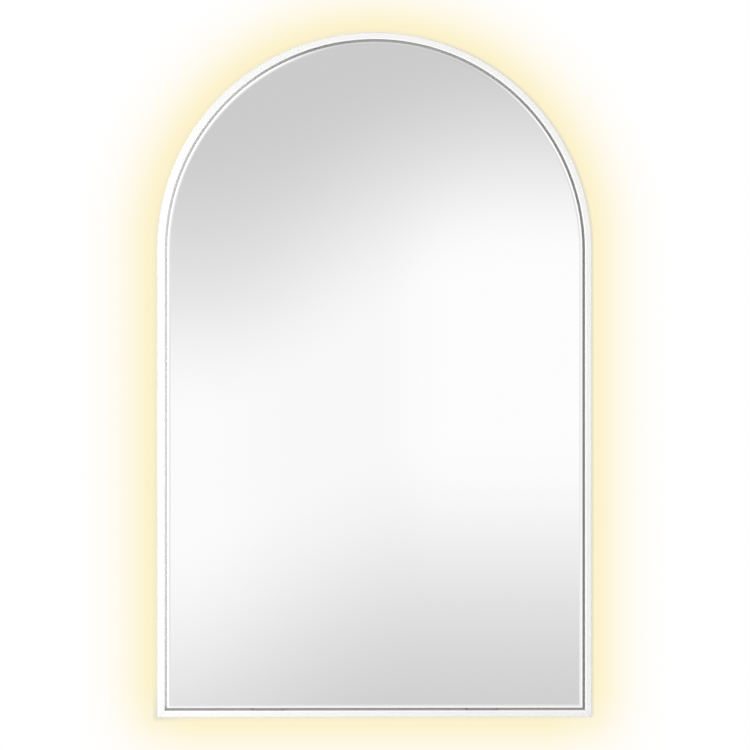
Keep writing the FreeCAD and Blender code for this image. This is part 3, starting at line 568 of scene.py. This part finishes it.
def moulded(name, colour, scale, gloss, depth=SKIN):
    """A moulded plastic or rubber with its own grain."""
    def recipe(tree):
        grain = tree.effect("Mould Grain", scale)
        wear = tree.effect("Edge Wear", 0.4, 0.0004)
        grime = tree.effect("Dust", 0.35)["Mask"]
        marks = tree.effect("Handling Marks", 0.7)["Mask"]
        rubbed = [min(1.0, part * 1.35 + 0.02) for part in colour]
        shade = tree.mix(wear["Mask"], tree.toned(colour, grain["Tone"]), rubbed)
        return {
            "Base Color": tree.mix(grime, shade, (0.50, 0.48, 0.44)),
            "Roughness": tree.plus(tree.times(marks, 0.12), gloss, tree.times(grime, 0.3), clamp=True),
            "Normal": tree.relief(grain["Height"], depth, wear["Normal"])}
    return surface(name, recipe)


def natural_nylon():
    return moulded("natural_nylon", colours().nylon, 1900.0, 0.42)


@finish("bonding_foam")
def cut_foam(tree):
    """Cut closed-cell foam."""
    tone = tree.span(tree.noise(300.0, 4.0), 0.3, 0.7, 0.75, 1.25)
    return {"Base Color": tree.toned(colours().foam, tone), "Roughness": 0.94,
            "Normal": tree.relief(tree.cells(1300.0)["Distance"], 0.00025)}


@finish("board_lacquer")
def board_lacquer(tree):
    """Green board below, dark component cans above, with fine tracks between."""
    low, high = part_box("driver_board")
    x, y, _ = tree.parts()
    raised = tree.calc("GREATER_THAN", y, low.y + 0.0038)
    tracks = tree.noise(1.0, 0.0, vector=tree.mapped(Scale=(90.0, 1.0, 420.0)))
    tracks = tree.times(tree.calc("GREATER_THAN", tracks, 0.62), 0.6)
    green = tree.mix(tracks, colours().board, (0.10, 0.32, 0.14))
    wound = tree.calc("LESS_THAN", tree.off_middle(x, low.x, high.x), 0.015)
    cans = tree.mix(wound, (0.03, 0.03, 0.035), (0.55, 0.42, 0.08))
    tone = tree.mottle(320.0, 3.0, 0.85, 1.1)
    return {"Base Color": tree.toned(tree.mix(raised, green, cans), tone), "Roughness": 0.38,
            "Normal": tree.relief(tree.noise(900.0))}


@finish("turned_brass")
def brassy(tree):
    grain = tree.effect("Drawn Grain")
    wear = tree.effect("Edge Wear", 0.6, 0.0002)
    colour = tree.mix(wear["Mask"], tree.toned(colours().brass, grain["Tone"]), (0.92, 0.80, 0.52))
    return bare_metal(colour, tree.span(grain["Height"], 0.3, 0.7, 0.22, 0.4), wear["Normal"])


@finish("heat_tinted_weld")
def burnt_weld(tree):
    """A spot weld: blue and straw heat tints round a dull pressed middle."""
    heat = tree.noise(700.0, 3.0)
    tints = [(0.3, (0.34, 0.37, 0.44)), (0.5, (0.52, 0.47, 0.36)), (0.7, (0.66, 0.67, 0.68))]
    colour = tree.ramp(heat, tints)
    return bare_metal(colour, tree.span(heat, 0.3, 0.7, 0.35, 0.6), tree.relief(heat, 0.00006))


# ---- Dressing and modelling helpers ----
def dress(material, *names):
    """Gives CAD nodes a finish. Their meshes and places stay as they are."""
    for name in names:
        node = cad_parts[name]
        if not node.material_slots:
            node.data.materials.append(material)
        for slot in node.material_slots:
            slot.material = material


def solids_of(name):
    """Lowest and highest corners of each separate solid in a CAD node."""
    shape = bmesh.new()
    shape.from_mesh(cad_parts[name].data)
    bmesh.ops.remove_doubles(shape, verts=shape.verts, dist=1e-6)
    left, found = set(shape.verts), []
    while left:
        heap, seen = [left.pop()], []
        while heap:
            vert = heap.pop()
            seen.append(vert.co.copy())
            others = {edge.other_vert(vert) for edge in vert.link_edges} & left
            left -= others
            heap.extend(others)
        found.append((Vector(map(min, *seen)), Vector(map(max, *seen))))
    shape.free()
    return sorted(found, key=lambda box: tuple(round(v, 5) for v in box[0]))


def turned(shape, profile, radius, rise, segments, place):
    """Spins a profile, in shares of radius and rise, round an axis that points at the wall."""
    before = set(shape.verts)
    x, y, z = place
    verts = [shape.verts.new((x + out * radius, y + up * rise, z)) for out, up in profile]
    edges = [shape.edges.new(pair) for pair in zip(verts, verts[1:])]
    bmesh.ops.spin(
        shape, geom=verts + edges, cent=place, axis=(0, 1, 0), angle=ROUND,
        steps=segments, use_merge=True, use_duplicate=False)
    bmesh.ops.remove_doubles(shape, verts=[v for v in shape.verts if v not in before], dist=1e-6)


def square_bar(shape, low, high, chamfer=0.0):
    """A block between two corners."""
    low, high = Vector(low), Vector(high)
    place = Matrix.Translation((low + high) / 2) @ Matrix.Diagonal((*(high - low), 1))
    made = bmesh.ops.create_cube(shape, size=1.0, matrix=place)
    if chamfer:
        edges = list({e for v in made["verts"] for e in v.link_edges})
        bmesh.ops.bevel(shape, geom=edges, offset=chamfer, offset_type="OFFSET", segments=1,
                        profile=0.5, affect="EDGES", material=-1)


def linked(name, data):
    """A new object in the scene."""
    made = bpy.data.objects.new(name, data)
    bpy.context.scene.collection.objects.link(made)
    return made


def from_shape(name, shape, material):
    """Ends a bmesh as an object of one material."""
    mesh = bpy.data.meshes.new(name)
    shape.to_mesh(mesh)
    shape.free()
    mesh.materials.append(material)
    return linked(name, mesh)


def new_piece(name, shape, material):
    """Ends a bmesh as a piece that rides on the mirror."""
    bmesh.ops.remove_doubles(shape, verts=shape.verts, dist=1e-7)
    bmesh.ops.recalc_face_normals(shape, faces=shape.faces)
    for face in shape.faces:
        face.smooth = True
    for edge in shape.edges:
        edge.smooth = len(edge.link_faces) == 2 and edge.calc_face_angle(0.0) < math.radians(35.0)
    piece = from_shape(name, shape, material)
    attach(piece, "mirror")
    return piece


# ---- Snap rivets ----
RIVET_PROFILE = [
    (0.0, 0.72), (0.34, 0.72), (0.38, 0.60), (0.42, 0.60), (0.46, 0.94),
    (0.62, 1.0), (0.86, 0.74), (1.0, 0.38), (1.0, 0.0), (0.0, 0.0)]
RIVET_FLANGE = 0.0014  # thickness of the CAD rivet's flange, which the round head stands for
RIVET_HALF = 0.0025  # half the side of the square body
RIVET_SLIT = 0.0003  # half the slit that lets the body snap in
RIVET_TIP = 0.0002  # how much shorter the body is than the CAD rivet


def snap_rivet(shape, low, high):
    """A round domed head with a pressed-in pin, and the square split body under it."""
    s = sizes()
    seat = high.y - RIVET_FLANGE
    x, z = (low.x + high.x) / 2, (low.z + high.z) / 2
    turned(shape, RIVET_PROFILE, s.rivet_head / 2, s.rivet_dome, 20, (x, seat, z))
    for near, far in ((-RIVET_HALF, -RIVET_SLIT), (RIVET_SLIT, RIVET_HALF)):
        square_bar(shape, (x + near, low.y + RIVET_TIP, z - RIVET_HALF), (x + far, seat, z + RIVET_HALF))
    tip = [v for v in shape.verts if v.co.y < low.y + 1.5 * RIVET_TIP
           and max(abs(v.co.x - x), abs(v.co.z - z)) < 1.6 * RIVET_HALF]
    bmesh.ops.scale(shape, vec=(0.66, 1, 0.66), verts=tip, space=Matrix.Translation((-x, 0, -z)))


def make_rivets(node, name):
    shape = bmesh.new()
    for low, high in solids_of(node):
        snap_rivet(shape, low, high)
    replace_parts(new_piece(name, shape, natural_nylon()), node)


# ---- Operators: one for each piece or group of like pieces ----
class MIRROR_OT_frame(Operator):
    """Coats the arched frame and its bottom rail, and plates the corner keys"""
    bl_idname = "mirror.frame"
    bl_label = "Frame"

    def execute(self, context):
        dress(white_coat(), "frame_arch", "frame_bottom_rail")
        dress(plated(), "corner_keys")
        return {"FINISHED"}


class MIRROR_OT_glass(Operator):
    """Silvers the bevelled glass and dresses what holds it in the frame"""
    bl_idname = "mirror.glass"
    bl_label = "Glass and Bonding"

    def execute(self, context):
        dress(silvered_glass(), "mirror_glass")
        dress(moulded("safety_film", (0.62, 0.65, 0.68), 900.0, 0.35), "safety_film")
        dress(cut_foam(), "glazing_tape", "spacer_blocks")
        dress(moulded("setting_silicone", colours().silicone, 1200.0, 0.55), "setting_blocks")
        return {"FINISHED"}


class MIRROR_OT_back_panel(Operator):
    """Galvanises the back panel"""
    bl_idname = "mirror.back_panel"
    bl_label = "Back Panel"

    def execute(self, context):
        dress(galvanised(), "back_panel")
        return {"FINISHED"}


class MIRROR_OT_rivets(Operator):
    """Adds the round-headed snap rivets of the panel, the light channel and the housings"""
    bl_idname = "mirror.rivets"
    bl_label = "Snap Rivets"

    def execute(self, context):
        make_rivets("panel_rivets", "panel_snap_rivets")
        make_rivets("channel_rivets", "channel_snap_rivets")
        make_rivets("housing_rivets", "housing_snap_rivets")
        return {"FINISHED"}


class MIRROR_OT_light(Operator):
    """Dresses the light channel, its milky cover, the light strip and its lights"""
    bl_idname = "mirror.light"
    bl_label = "Light Channel"

    def execute(self, context):
        dress(anodised(), "light_channel_arch", "light_channel_bottom")
        dress(milky_cover(), "light_cover_arch", "light_cover_bottom")
        dress(light_strip(), "light_strip")
        dress(light_package(), "light_packages")
        dress(moulded("bush_nylon", (0.05, 0.05, 0.052), 1900.0, 0.45), "web_bush")
        return {"FINISHED"}


class MIRROR_OT_hanging_bars(Operator):
    """Plates the wall rail, the hook and the crossbars"""
    bl_idname = "mirror.hanging_bars"
    bl_label = "Hanging Bars"

    def execute(self, context):
        dress(plated(), "wall_rail", "hanger_hook", "upper_crossbar", "lower_crossbar")
        return {"FINISHED"}


WELD_PROFILE = [(0.0, 0.03), (0.55, 0.04), (0.72, 0.22), (0.9, 0.2), (1.0, 0.0)]
WELD_END = 0.02  # from a bar's end to its first weld
WELD_INSET = 0.006  # from a crossbar's edge to its weld row
CROSSBAR_SHEET, HOOK_SHEET = 0.0015, 0.002
HOOK_WELDS = 0.014  # from the hook's upper edge to its weld row


class MIRROR_OT_weld_spots(Operator):
    """Adds the spot welds that hold the crossbars to the panel and the hook to its crossbar"""
    bl_idname = "mirror.weld_spots"
    bl_label = "Spot Welds"

    def execute(self, context):
        s = sizes()
        rows = []
        for node in ("upper_crossbar", "lower_crossbar"):
            low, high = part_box(node)
            heights = (low.z + WELD_INSET, high.z - WELD_INSET)
            rows += [(low, high, low.y + CROSSBAR_SHEET, z) for z in heights]
        low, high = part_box("hanger_hook")
        rows.append((low, high, low.y + HOOK_SHEET, high.z - HOOK_WELDS))
        shape = bmesh.new()
        for low, high, y, z in rows:
            run = high.x - low.x - 2 * WELD_END
            count = max(2, round(run / s.weld_pitch))
            for i in range(count + 1):
                place = (low.x + WELD_END + run * i / count, y, z)
                turned(shape, WELD_PROFILE, s.weld_spot / 2, 0.001, 16, place)
        new_piece("weld_spots", shape, burnt_weld())
        return {"FINISHED"}


BUFFER_PROFILE = [
    (0.0, 0.55), (0.28, 0.55), (0.30, 0.60), (0.34, 0.95), (0.38, 1.0), (0.78, 1.0), (0.84, 0.955),
    (0.86, 0.86), (0.90, 0.42), (0.91, 0.30), (0.87, 0.26), (0.87, 0.20), (0.97, 0.17), (1.0, 0.12),
    (1.0, 0.02), (0.98, 0.0), (0.0, 0.0)]


class MIRROR_OT_buffers(Operator):
    """Adds the two turned rubber buffers that rest on the wall"""
    bl_idname = "mirror.buffers"
    bl_label = "Wall Buffers"

    def execute(self, context):
        shape = bmesh.new()
        root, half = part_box("lower_crossbar")[1].y, 0.0025
        for low, high in solids_of("wall_bumpers"):
            x, z = (low.x + high.x) / 2, (low.z + high.z) / 2
            turned(shape, BUFFER_PROFILE, (high.x - low.x) / 2, high.y - root, 40, (x, root, z))
            square_bar(shape, (x - half, low.y, z - half), (x + half, root, z + half), 0.0004)
        rubber = moulded("buffer_rubber", colours().rubber, 1000.0, 0.72, 0.00004)
        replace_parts(new_piece("rubber_buffers", shape, rubber), "wall_bumpers")
        return {"FINISHED"}


class MIRROR_OT_driver(Operator):
    """Dresses the driver's case, lid and circuit board"""
    bl_idname = "mirror.driver"
    bl_label = "Driver"

    def execute(self, context):
        dress(moulded("driver_grey", colours().housing, 1500.0, 0.48, 0.00004), "driver_case", "driver_lid")
        dress(board_lacquer(), "driver_board")
        return {"FINISHED"}


class MIRROR_OT_junction_box(Operator):
    """Dresses the junction box, its lid, the terminals and the cord bush"""
    bl_idname = "mirror.junction_box"
    bl_label = "Junction Box"

    def execute(self, context):
        dress(moulded("box_grey", colours().housing, 1300.0, 0.52, 0.00005), "junction_box", "junction_lid")
        dress(moulded("terminal_white", (0.78, 0.78, 0.75), 2000.0, 0.36), "terminal_block")
        dress(moulded("bush_black", (0.035, 0.035, 0.038), 1500.0, 0.5, 0.00004), "cord_bush")
        return {"FINISHED"}


PAN_HEAD = [(0.0, 1.0), (0.55, 0.97), (0.85, 0.78), (0.97, 0.45), (1.0, 0.0), (0.0, 0.0)]


class MIRROR_OT_lid_screws(Operator):
    """Adds the cross-recessed pan head screws in the corners of both lids"""
    bl_idname = "mirror.lid_screws"
    bl_label = "Lid Screws"

    def execute(self, context):
        s = sizes()
        radius, rise = s.screw_head / 2, s.screw_rise
        heads, recesses = bmesh.new(), bmesh.new()
        for node, inset in (("driver_lid", 0.0068), ("junction_lid", 0.0075)):
            low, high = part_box(node)
            for x in (low.x + inset, high.x - inset):
                for z in (low.z + inset, high.z - inset):
                    turned(heads, PAN_HEAD, radius, rise, 28, (x, high.y, z))
                    turn = Matrix.Rotation(x * 90 + z * 50, 4, "Y")
                    place = Matrix.Translation((x, high.y + rise * 0.85, z)) @ turn
                    for across, along in ((1.15, 0.26), (0.26, 1.15)):
                        size = Matrix.Diagonal((radius * across, rise * 0.9, radius * along, 1))
                        bmesh.ops.create_cube(recesses, size=1.0, matrix=place @ size)
        cutter = new_piece("recess_cutter", recesses, plated())
        piece = new_piece("lid_screws", heads, plated())
        cut = piece.modifiers.new("Cross Recess", "BOOLEAN")
        cut.object, cut.operation, cut.solver, cut.use_self = cutter, "DIFFERENCE", "EXACT", True
        evaluated = piece.evaluated_get(context.evaluated_depsgraph_get())
        piece.data = bpy.data.meshes.new_from_object(evaluated)
        piece.modifiers.clear()
        bpy.data.objects.remove(cutter)
        return {"FINISHED"}


class MIRROR_OT_terminal_screws(Operator):
    """Adds the slotted brass screws down the terminal block's wells"""
    bl_idname = "mirror.terminal_screws"
    bl_label = "Terminal Screws"

    def execute(self, context):
        low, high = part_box("terminal_block")
        slot, rise = 0.0006, 0.0022
        shape = bmesh.new()
        for pole in (1 / 6, 3 / 6, 5 / 6):
            place = low + (high - low) * Vector((pole, 0.5, 0.5))
            matrix = Matrix.Translation(place) @ Matrix.Rotation(math.pi / 2, 4, "X")
            for side in (-1, 1):
                disc = bmesh.ops.create_circle(
                    shape, cap_ends=True, segments=24, radius=sizes().terminal_screw / 2, matrix=matrix)
                disc = {part for v in disc["verts"] for part in (v, *v.link_edges, *v.link_faces)}
                cut = place + Vector((0, 0, side * slot / 2))
                kept = bmesh.ops.bisect_plane(
                    shape, geom=list(disc), plane_co=cut, plane_no=(0, 0, side), clear_inner=True)
                faces = [part for part in kept["geom"] if isinstance(part, bmesh.types.BMFace)]
                lifted = bmesh.ops.extrude_face_region(shape, geom=faces)
                top = [part for part in lifted["geom"] if isinstance(part, bmesh.types.BMVert)]
                bmesh.ops.translate(shape, verts=top, vec=(0, rise, 0))
        new_piece("terminal_screws", shape, brassy())
        return {"FINISHED"}


class MIRROR_OT_leads(Operator):
    """Dresses the leads between the housings and the clips that hold them"""
    bl_idname = "mirror.leads"
    bl_label = "Leads and Clips"

    def execute(self, context):
        dress(moulded("black_sheath", (0.03, 0.03, 0.032), 700.0, 0.5), "mains_lead")
        dress(moulded("white_sheath", (0.76, 0.76, 0.74), 700.0, 0.44), "light_lead")
        dress(natural_nylon(), "lead_clips")
        return {"FINISHED"}


# ---- Stage ----
def seen_directly(tree):
    """1 on the rays that show a thing, 0 on those that carry its light elsewhere."""
    path = tree.add("ShaderNodeLightPath").outputs
    return tree.calc("MAXIMUM", path["Is Glossy Ray"], path["Is Transmission Ray"], path["Is Camera Ray"])


def halo_colour(tree, stage, x, z, away):
    """The halo by its distance from the frame, paler round the two lower corners."""
    near, middle, white = Vector(stage.halo_near), Vector(stage.halo_middle), Vector(stage.wall)
    # the first stop is darker: a painted contact shade right beside the frame
    stops = [(0.0, near * 0.93), (0.07, near), (0.12, near), (0.267, middle)]
    stops += [(share, middle.lerp(white, fade)) for share, fade in (
        (0.427, 0.38), (0.534, 0.56), (0.667, 0.78), (1.0, 1.0))]
    halo = tree.ramp(tree.calc("DIVIDE", away, stage.halo_reach), stops)
    foot = sizes().foot
    low_corner = tree.times(tree.ease(tree.calc("ABSOLUTE", x), 0.24, 0.33),
                            tree.ease(z, foot + 0.05, foot - 0.03))
    return tree.mix(tree.times(low_corner, 0.35), halo, white)


def wall_shade(tree, x, away):
    """The frame's thin shadow, along its right side and tucked under its lower left corner."""
    cast = tree.outline(tree.mapped(Location=(-0.0062, 0.0, -0.002)))["Inset"]
    under = tree.times(tree.ease(cast, -0.0024, 0.0012), 0.55)
    right = tree.times(under, tree.ease(cast, 0.0120, 0.0020), tree.ease(x, 0.02, 0.16))
    corner = (-sizes().half_width, 0.0, sizes().foot)
    from_corner = tree.vectors("DISTANCE", tree.coordinates, corner, "Value")
    tucked = tree.times(tree.ease(from_corner, 0.055, 0.0),
                        tree.ease(tree.calc("ABSOLUTE", away), 0.009, 0.0, 0.0, 0.62))
    return tree.calc("MAXIMUM", right, tucked)


def halo_wall(stage):
    """A white wall whose colour paints the halo of light round the mirror, and that shows nothing from
    behind or edge-on.
    """
    material, tree = blank_material("wall_with_halo")
    x, _, z = tree.parts()
    away = tree.times(tree.outline(tree.mapped(Location=(-0.0016, 0.0, 0.0)))["Inset"], -1.0)
    halo = tree.mix(wall_shade(tree, x, away), halo_colour(tree, stage, x, z, away), stage.halo_shade)
    matt = tree.add("ShaderNodeBsdfDiffuse", {"Color": (0.8, 0.8, 0.8)})
    shown = tree.choose(seen_directly(tree), matt, tree.emission(halo))
    behind = tree.add("ShaderNodeNewGeometry").outputs["Backfacing"]
    edge_on = tree.span(tree.add("ShaderNodeLayerWeight").outputs["Facing"], 0.84, 0.94)
    hidden = tree.calc("MAXIMUM", behind, edge_on)
    tree.show(tree.choose(hidden, shown, tree.add("ShaderNodeBsdfTransparent")))
    return material


def pale_floor(stage):
    """A pale floor that keeps its shadows near the mirror and fades into the backdrop."""
    material, tree = blank_material("pale_floor")
    x, y, _ = tree.parts()
    pale = tree.toned(stage.floor, tree.mottle(3.0, 5.0, 0.985, 1.0))
    matt = tree.add("ShaderNodeBsdfDiffuse", {"Color": pale})
    out = tree.diagonal(x, y)
    far = tree.times(tree.ease(out, 0.7, 3.4), seen_directly(tree))
    glossy = tree.add("ShaderNodeLightPath").outputs["Is Glossy Ray"]
    far = tree.calc("MAXIMUM", far, tree.times(tree.ease(out, 1.35, 1.15), glossy))
    tree.show(tree.choose(far, matt, tree.emission(stage.backdrop)))
    return material


def light_screen(centre, growth):
    """A white screen with soft grey edges above and below, which only gloss shows.

    u runs right and v down from the picture's centre, in metres on the glass. Both grey edges
    bend with u, and the white between them is a little brighter at its sides.
    """
    material, tree = blank_material("light_screen")
    x, _, z = tree.parts()
    u = tree.calc("DIVIDE", tree.minus(x, centre.x), growth)
    v = tree.calc("DIVIDE", tree.minus(centre.z, z), growth)
    upper_bend = tree.times(tree.ease(u, -0.245, 0.203, -0.118, 0.092),
                            tree.span(v, -0.4415, -0.105, 0.5, 1.05))
    lower_bend = tree.ease(u, -0.357, 0.077, -0.147, 0.014)
    upper = tree.ease(tree.plus(v, upper_bend), -0.4415, -0.0561, 0.64, 1.0)
    lower = tree.ease(tree.plus(v, lower_bend), 0.0911, 0.5397, 1.0, 0.655)
    screen = tree.times(upper, lower)
    sides = tree.plus(tree.ease(u, 0.0, 0.11, 0.0, 0.042), tree.ease(u, -0.10, -0.26, 0.0, 0.022))
    gain = tree.plus(tree.times(sides, tree.span(screen, 0.8, 1.0)), 0.952)
    tree.show(tree.emission(tree.grey(tree.times(screen, gain))))
    return material


def stage_sheet(name, corners, material, hidden_from=()):
    """A flat sheet of the stage through four corners."""
    shape = bmesh.new()
    shape.faces.new([shape.verts.new(corner) for corner in corners])
    sheet = from_shape(name, shape, material)
    material.cycles.emission_sampling = "NONE"
    for rays in hidden_from:
        setattr(sheet, "visible_" + rays, False)


def upright(x, y, z):
    """Corners of an upright sheet between pairs of x and z."""
    return [(x[0], y, z[0]), (x[1], y, z[0]), (x[1], y, z[1]), (x[0], y, z[1])]


def studio_world(stage):
    """Plain light all round, and in the bevels a grey room beside the screen."""
    world = bpy.data.worlds.new("plain_studio")
    bpy.context.scene.world = world
    tree = fresh_tree(world)
    x, y, z = tree.parts(tree.add("ShaderNodeTexCoord").outputs["Generated"])
    aside = tree.minus(x, math.sin(stage.view_turn))
    out = tree.diagonal(aside, z)
    across, up = tree.calc("DIVIDE", aside, out), tree.calc("DIVIDE", z, out)

    def room_tone(inner, outer):
        """A side of the room: the bevel's inner facet shows the first tone, its outer facet the second."""
        return tree.grey(tree.span(out, 0.43, 0.52, inner, outer))

    left = room_tone(0.80, 1.12)
    right = room_tone(tree.span(up, 0.05, 0.28, 0.86, 0.75), tree.span(up, 0.05, 0.28, 0.97, 1.04))
    room = tree.mix(tree.span(across, -0.3, 0.3), left, right)
    overhead = tree.times(
        tree.ease(across, -0.60, -0.12), tree.ease(across, 0.88, 0.42), tree.span(up, 0.0, 0.3))
    room = tree.mix(overhead, room, room_tone(0.59, 0.66))
    room = tree.mix(tree.span(up, -0.55, -0.85), room, room_tone(0.67, 1.05))
    rear = tree.grey(tree.ease(z, -0.5, 0.7, 0.34, 0.72))
    around = tree.mix(tree.ease(y, -0.15, 0.25), (0.86, 0.86, 0.86), rear)
    room = tree.mix(tree.ease(y, -0.50, -0.65), around, room)
    glossy = tree.add("ShaderNodeLightPath").outputs["Is Glossy Ray"]
    feeds = {"Color": tree.mix(glossy, stage.backdrop, room),
             "Strength": tree.span(seen_directly(tree), 0.0, 1.0, 0.60, 1.0)}
    tree.show(tree.add("ShaderNodeBackground", feeds), "ShaderNodeOutputWorld")


def aimed(name, data, place, look):
    """A lamp or a camera that looks one way."""
    made = linked(name, data)
    made.location = place
    made.rotation_mode = "QUATERNION"
    made.rotation_quaternion = look.to_track_quat("-Z", "Y")
    return made


def soft_lamp(name, place, target, wide, tall, watts, glints=False):
    light = bpy.data.lights.new(name, "AREA")
    light.shape = "RECTANGLE"
    light.size, light.size_y = wide, tall
    light.energy = watts
    lamp = aimed(name, light, place, Vector(target) - Vector(place))
    lamp.visible_camera = False
    lamp.visible_glossy = glints


def view_camera(stage, target, look):
    camera = bpy.data.cameras.new("view")
    camera.sensor_width = 36.0
    camera.lens = camera.sensor_width * stage.distance / stage.view_height
    camera.clip_start, camera.clip_end = 0.5, 80
    return aimed("view", camera, target - look * stage.distance, look)


class MIRROR_OT_stage(Operator):
    """Sets the wall with its halo, the floor, the light screen, plain soft light and the camera"""
    bl_idname = "mirror.stage"
    bl_label = "Stage"

    def execute(self, context):
        stage = context.scene.mirror_stage
        half, gap = 4.0, 0.0004
        ground = cad_low.z - stage.floor_drop
        stage_sheet("stage_wall", upright((-half, half), gap, (ground, half)), halo_wall(stage),
                    hidden_from=("shadow", "diffuse", "glossy"))
        ways = ((-1, -1), (1, -1), (1, 1), (-1, 1))
        stage_sheet("stage_floor", [(half * x, half * y, ground) for x, y in ways], pale_floor(stage))
        studio_world(stage)

        target = Vector((stage.view_side, cad_low.y, stage.view_middle))
        turn, rise = stage.view_turn, stage.view_rise
        look = Vector((math.sin(turn) * math.cos(rise), math.cos(turn) * math.cos(rise), -math.sin(rise)))
        reach = stage.screen_distance / look.y
        centre = target + Vector((look.x, -look.y, look.z)) * reach
        wide, tall = 0.62, 0.80
        corners = upright((centre.x + wide, centre.x - wide), centre.y, (centre.z - tall, centre.z + tall))
        stage_sheet("stage_screen", corners, light_screen(centre, 1 + reach / stage.distance),
                    hidden_from=("camera", "diffuse", "shadow", "transmission", "volume_scatter"))

        middle = (0, 0, (cad_low.z + cad_high.z) / 2)
        soft_lamp("key_left", (-2.8, -4.3, 1.2), middle, 2.5, 2.5, 96)
        soft_lamp("fill_right", (3.1, -4.4, -0.3), middle, 2.5, 2.5, 50)
        soft_lamp("side_left", (-3.6, -0.5, -0.2), middle, 1.6, 1.6, 38)
        soft_lamp("left_edge", (-0.295, -0.27, -0.28), (-0.30, -0.045, -0.28), 0.04, 0.74, 0.24)
        soft_lamp("behind_left", (-1.9, 2.6, 1.3), middle, 1.2, 1.2, 26, glints=True)
        soft_lamp("behind_right", (2.4, 2.4, -0.2), middle, 1.6, 1.6, 8, glints=True)
        context.scene.camera = view_camera(stage, target, look)
        context.scene.view_settings.view_transform = "Standard"
        return {"FINISHED"}


PIECE_OPERATORS = (
    MIRROR_OT_frame, MIRROR_OT_glass, MIRROR_OT_back_panel, MIRROR_OT_rivets, MIRROR_OT_light,
    MIRROR_OT_hanging_bars, MIRROR_OT_weld_spots, MIRROR_OT_buffers, MIRROR_OT_driver,
    MIRROR_OT_junction_box, MIRROR_OT_lid_screws, MIRROR_OT_terminal_screws, MIRROR_OT_leads,
    MIRROR_OT_stage)


class MIRROR_PT_panel(Panel):
    """Lists the mirror's operators, sizes and colours"""
    bl_idname = "MIRROR_PT_panel"
    bl_label = "Backlit Mirror"
    bl_space_type = "VIEW_3D"
    bl_region_type = "UI"
    bl_category = "Mirror"

    def draw(self, context):
        layout = self.layout
        for operator in PIECE_OPERATORS:
            layout.operator(operator.bl_idname)
        scene = context.scene
        for group in (scene.mirror_sizes, scene.mirror_colours, scene.mirror_stage):
            box = layout.box()
            for name in group.__annotations__:
                box.prop(group, name)


CLASSES = (MirrorSizes, MirrorColours, MirrorStage, *PIECE_OPERATORS, MIRROR_PT_panel)


def register():
    for each in CLASSES:
        bpy.utils.register_class(each)
    bpy.types.Scene.mirror_sizes = PointerProperty(type=MirrorSizes)
    bpy.types.Scene.mirror_colours = PointerProperty(type=MirrorColours)
    bpy.types.Scene.mirror_stage = PointerProperty(type=MirrorStage)


def unregister():
    del bpy.types.Scene.mirror_sizes, bpy.types.Scene.mirror_colours, bpy.types.Scene.mirror_stage
    for each in reversed(CLASSES):
        bpy.utils.unregister_class(each)


def main():
    register()
    bpy.ops.mirror.frame()
    bpy.ops.mirror.glass()
    bpy.ops.mirror.back_panel()
    bpy.ops.mirror.rivets()
    bpy.ops.mirror.light()
    bpy.ops.mirror.hanging_bars()
    bpy.ops.mirror.weld_spots()
    bpy.ops.mirror.buffers()
    bpy.ops.mirror.driver()
    bpy.ops.mirror.junction_box()
    bpy.ops.mirror.lid_screws()
    bpy.ops.mirror.terminal_screws()
    bpy.ops.mirror.leads()
    bpy.ops.mirror.stage()


if __name__ == "__main__":
    main()
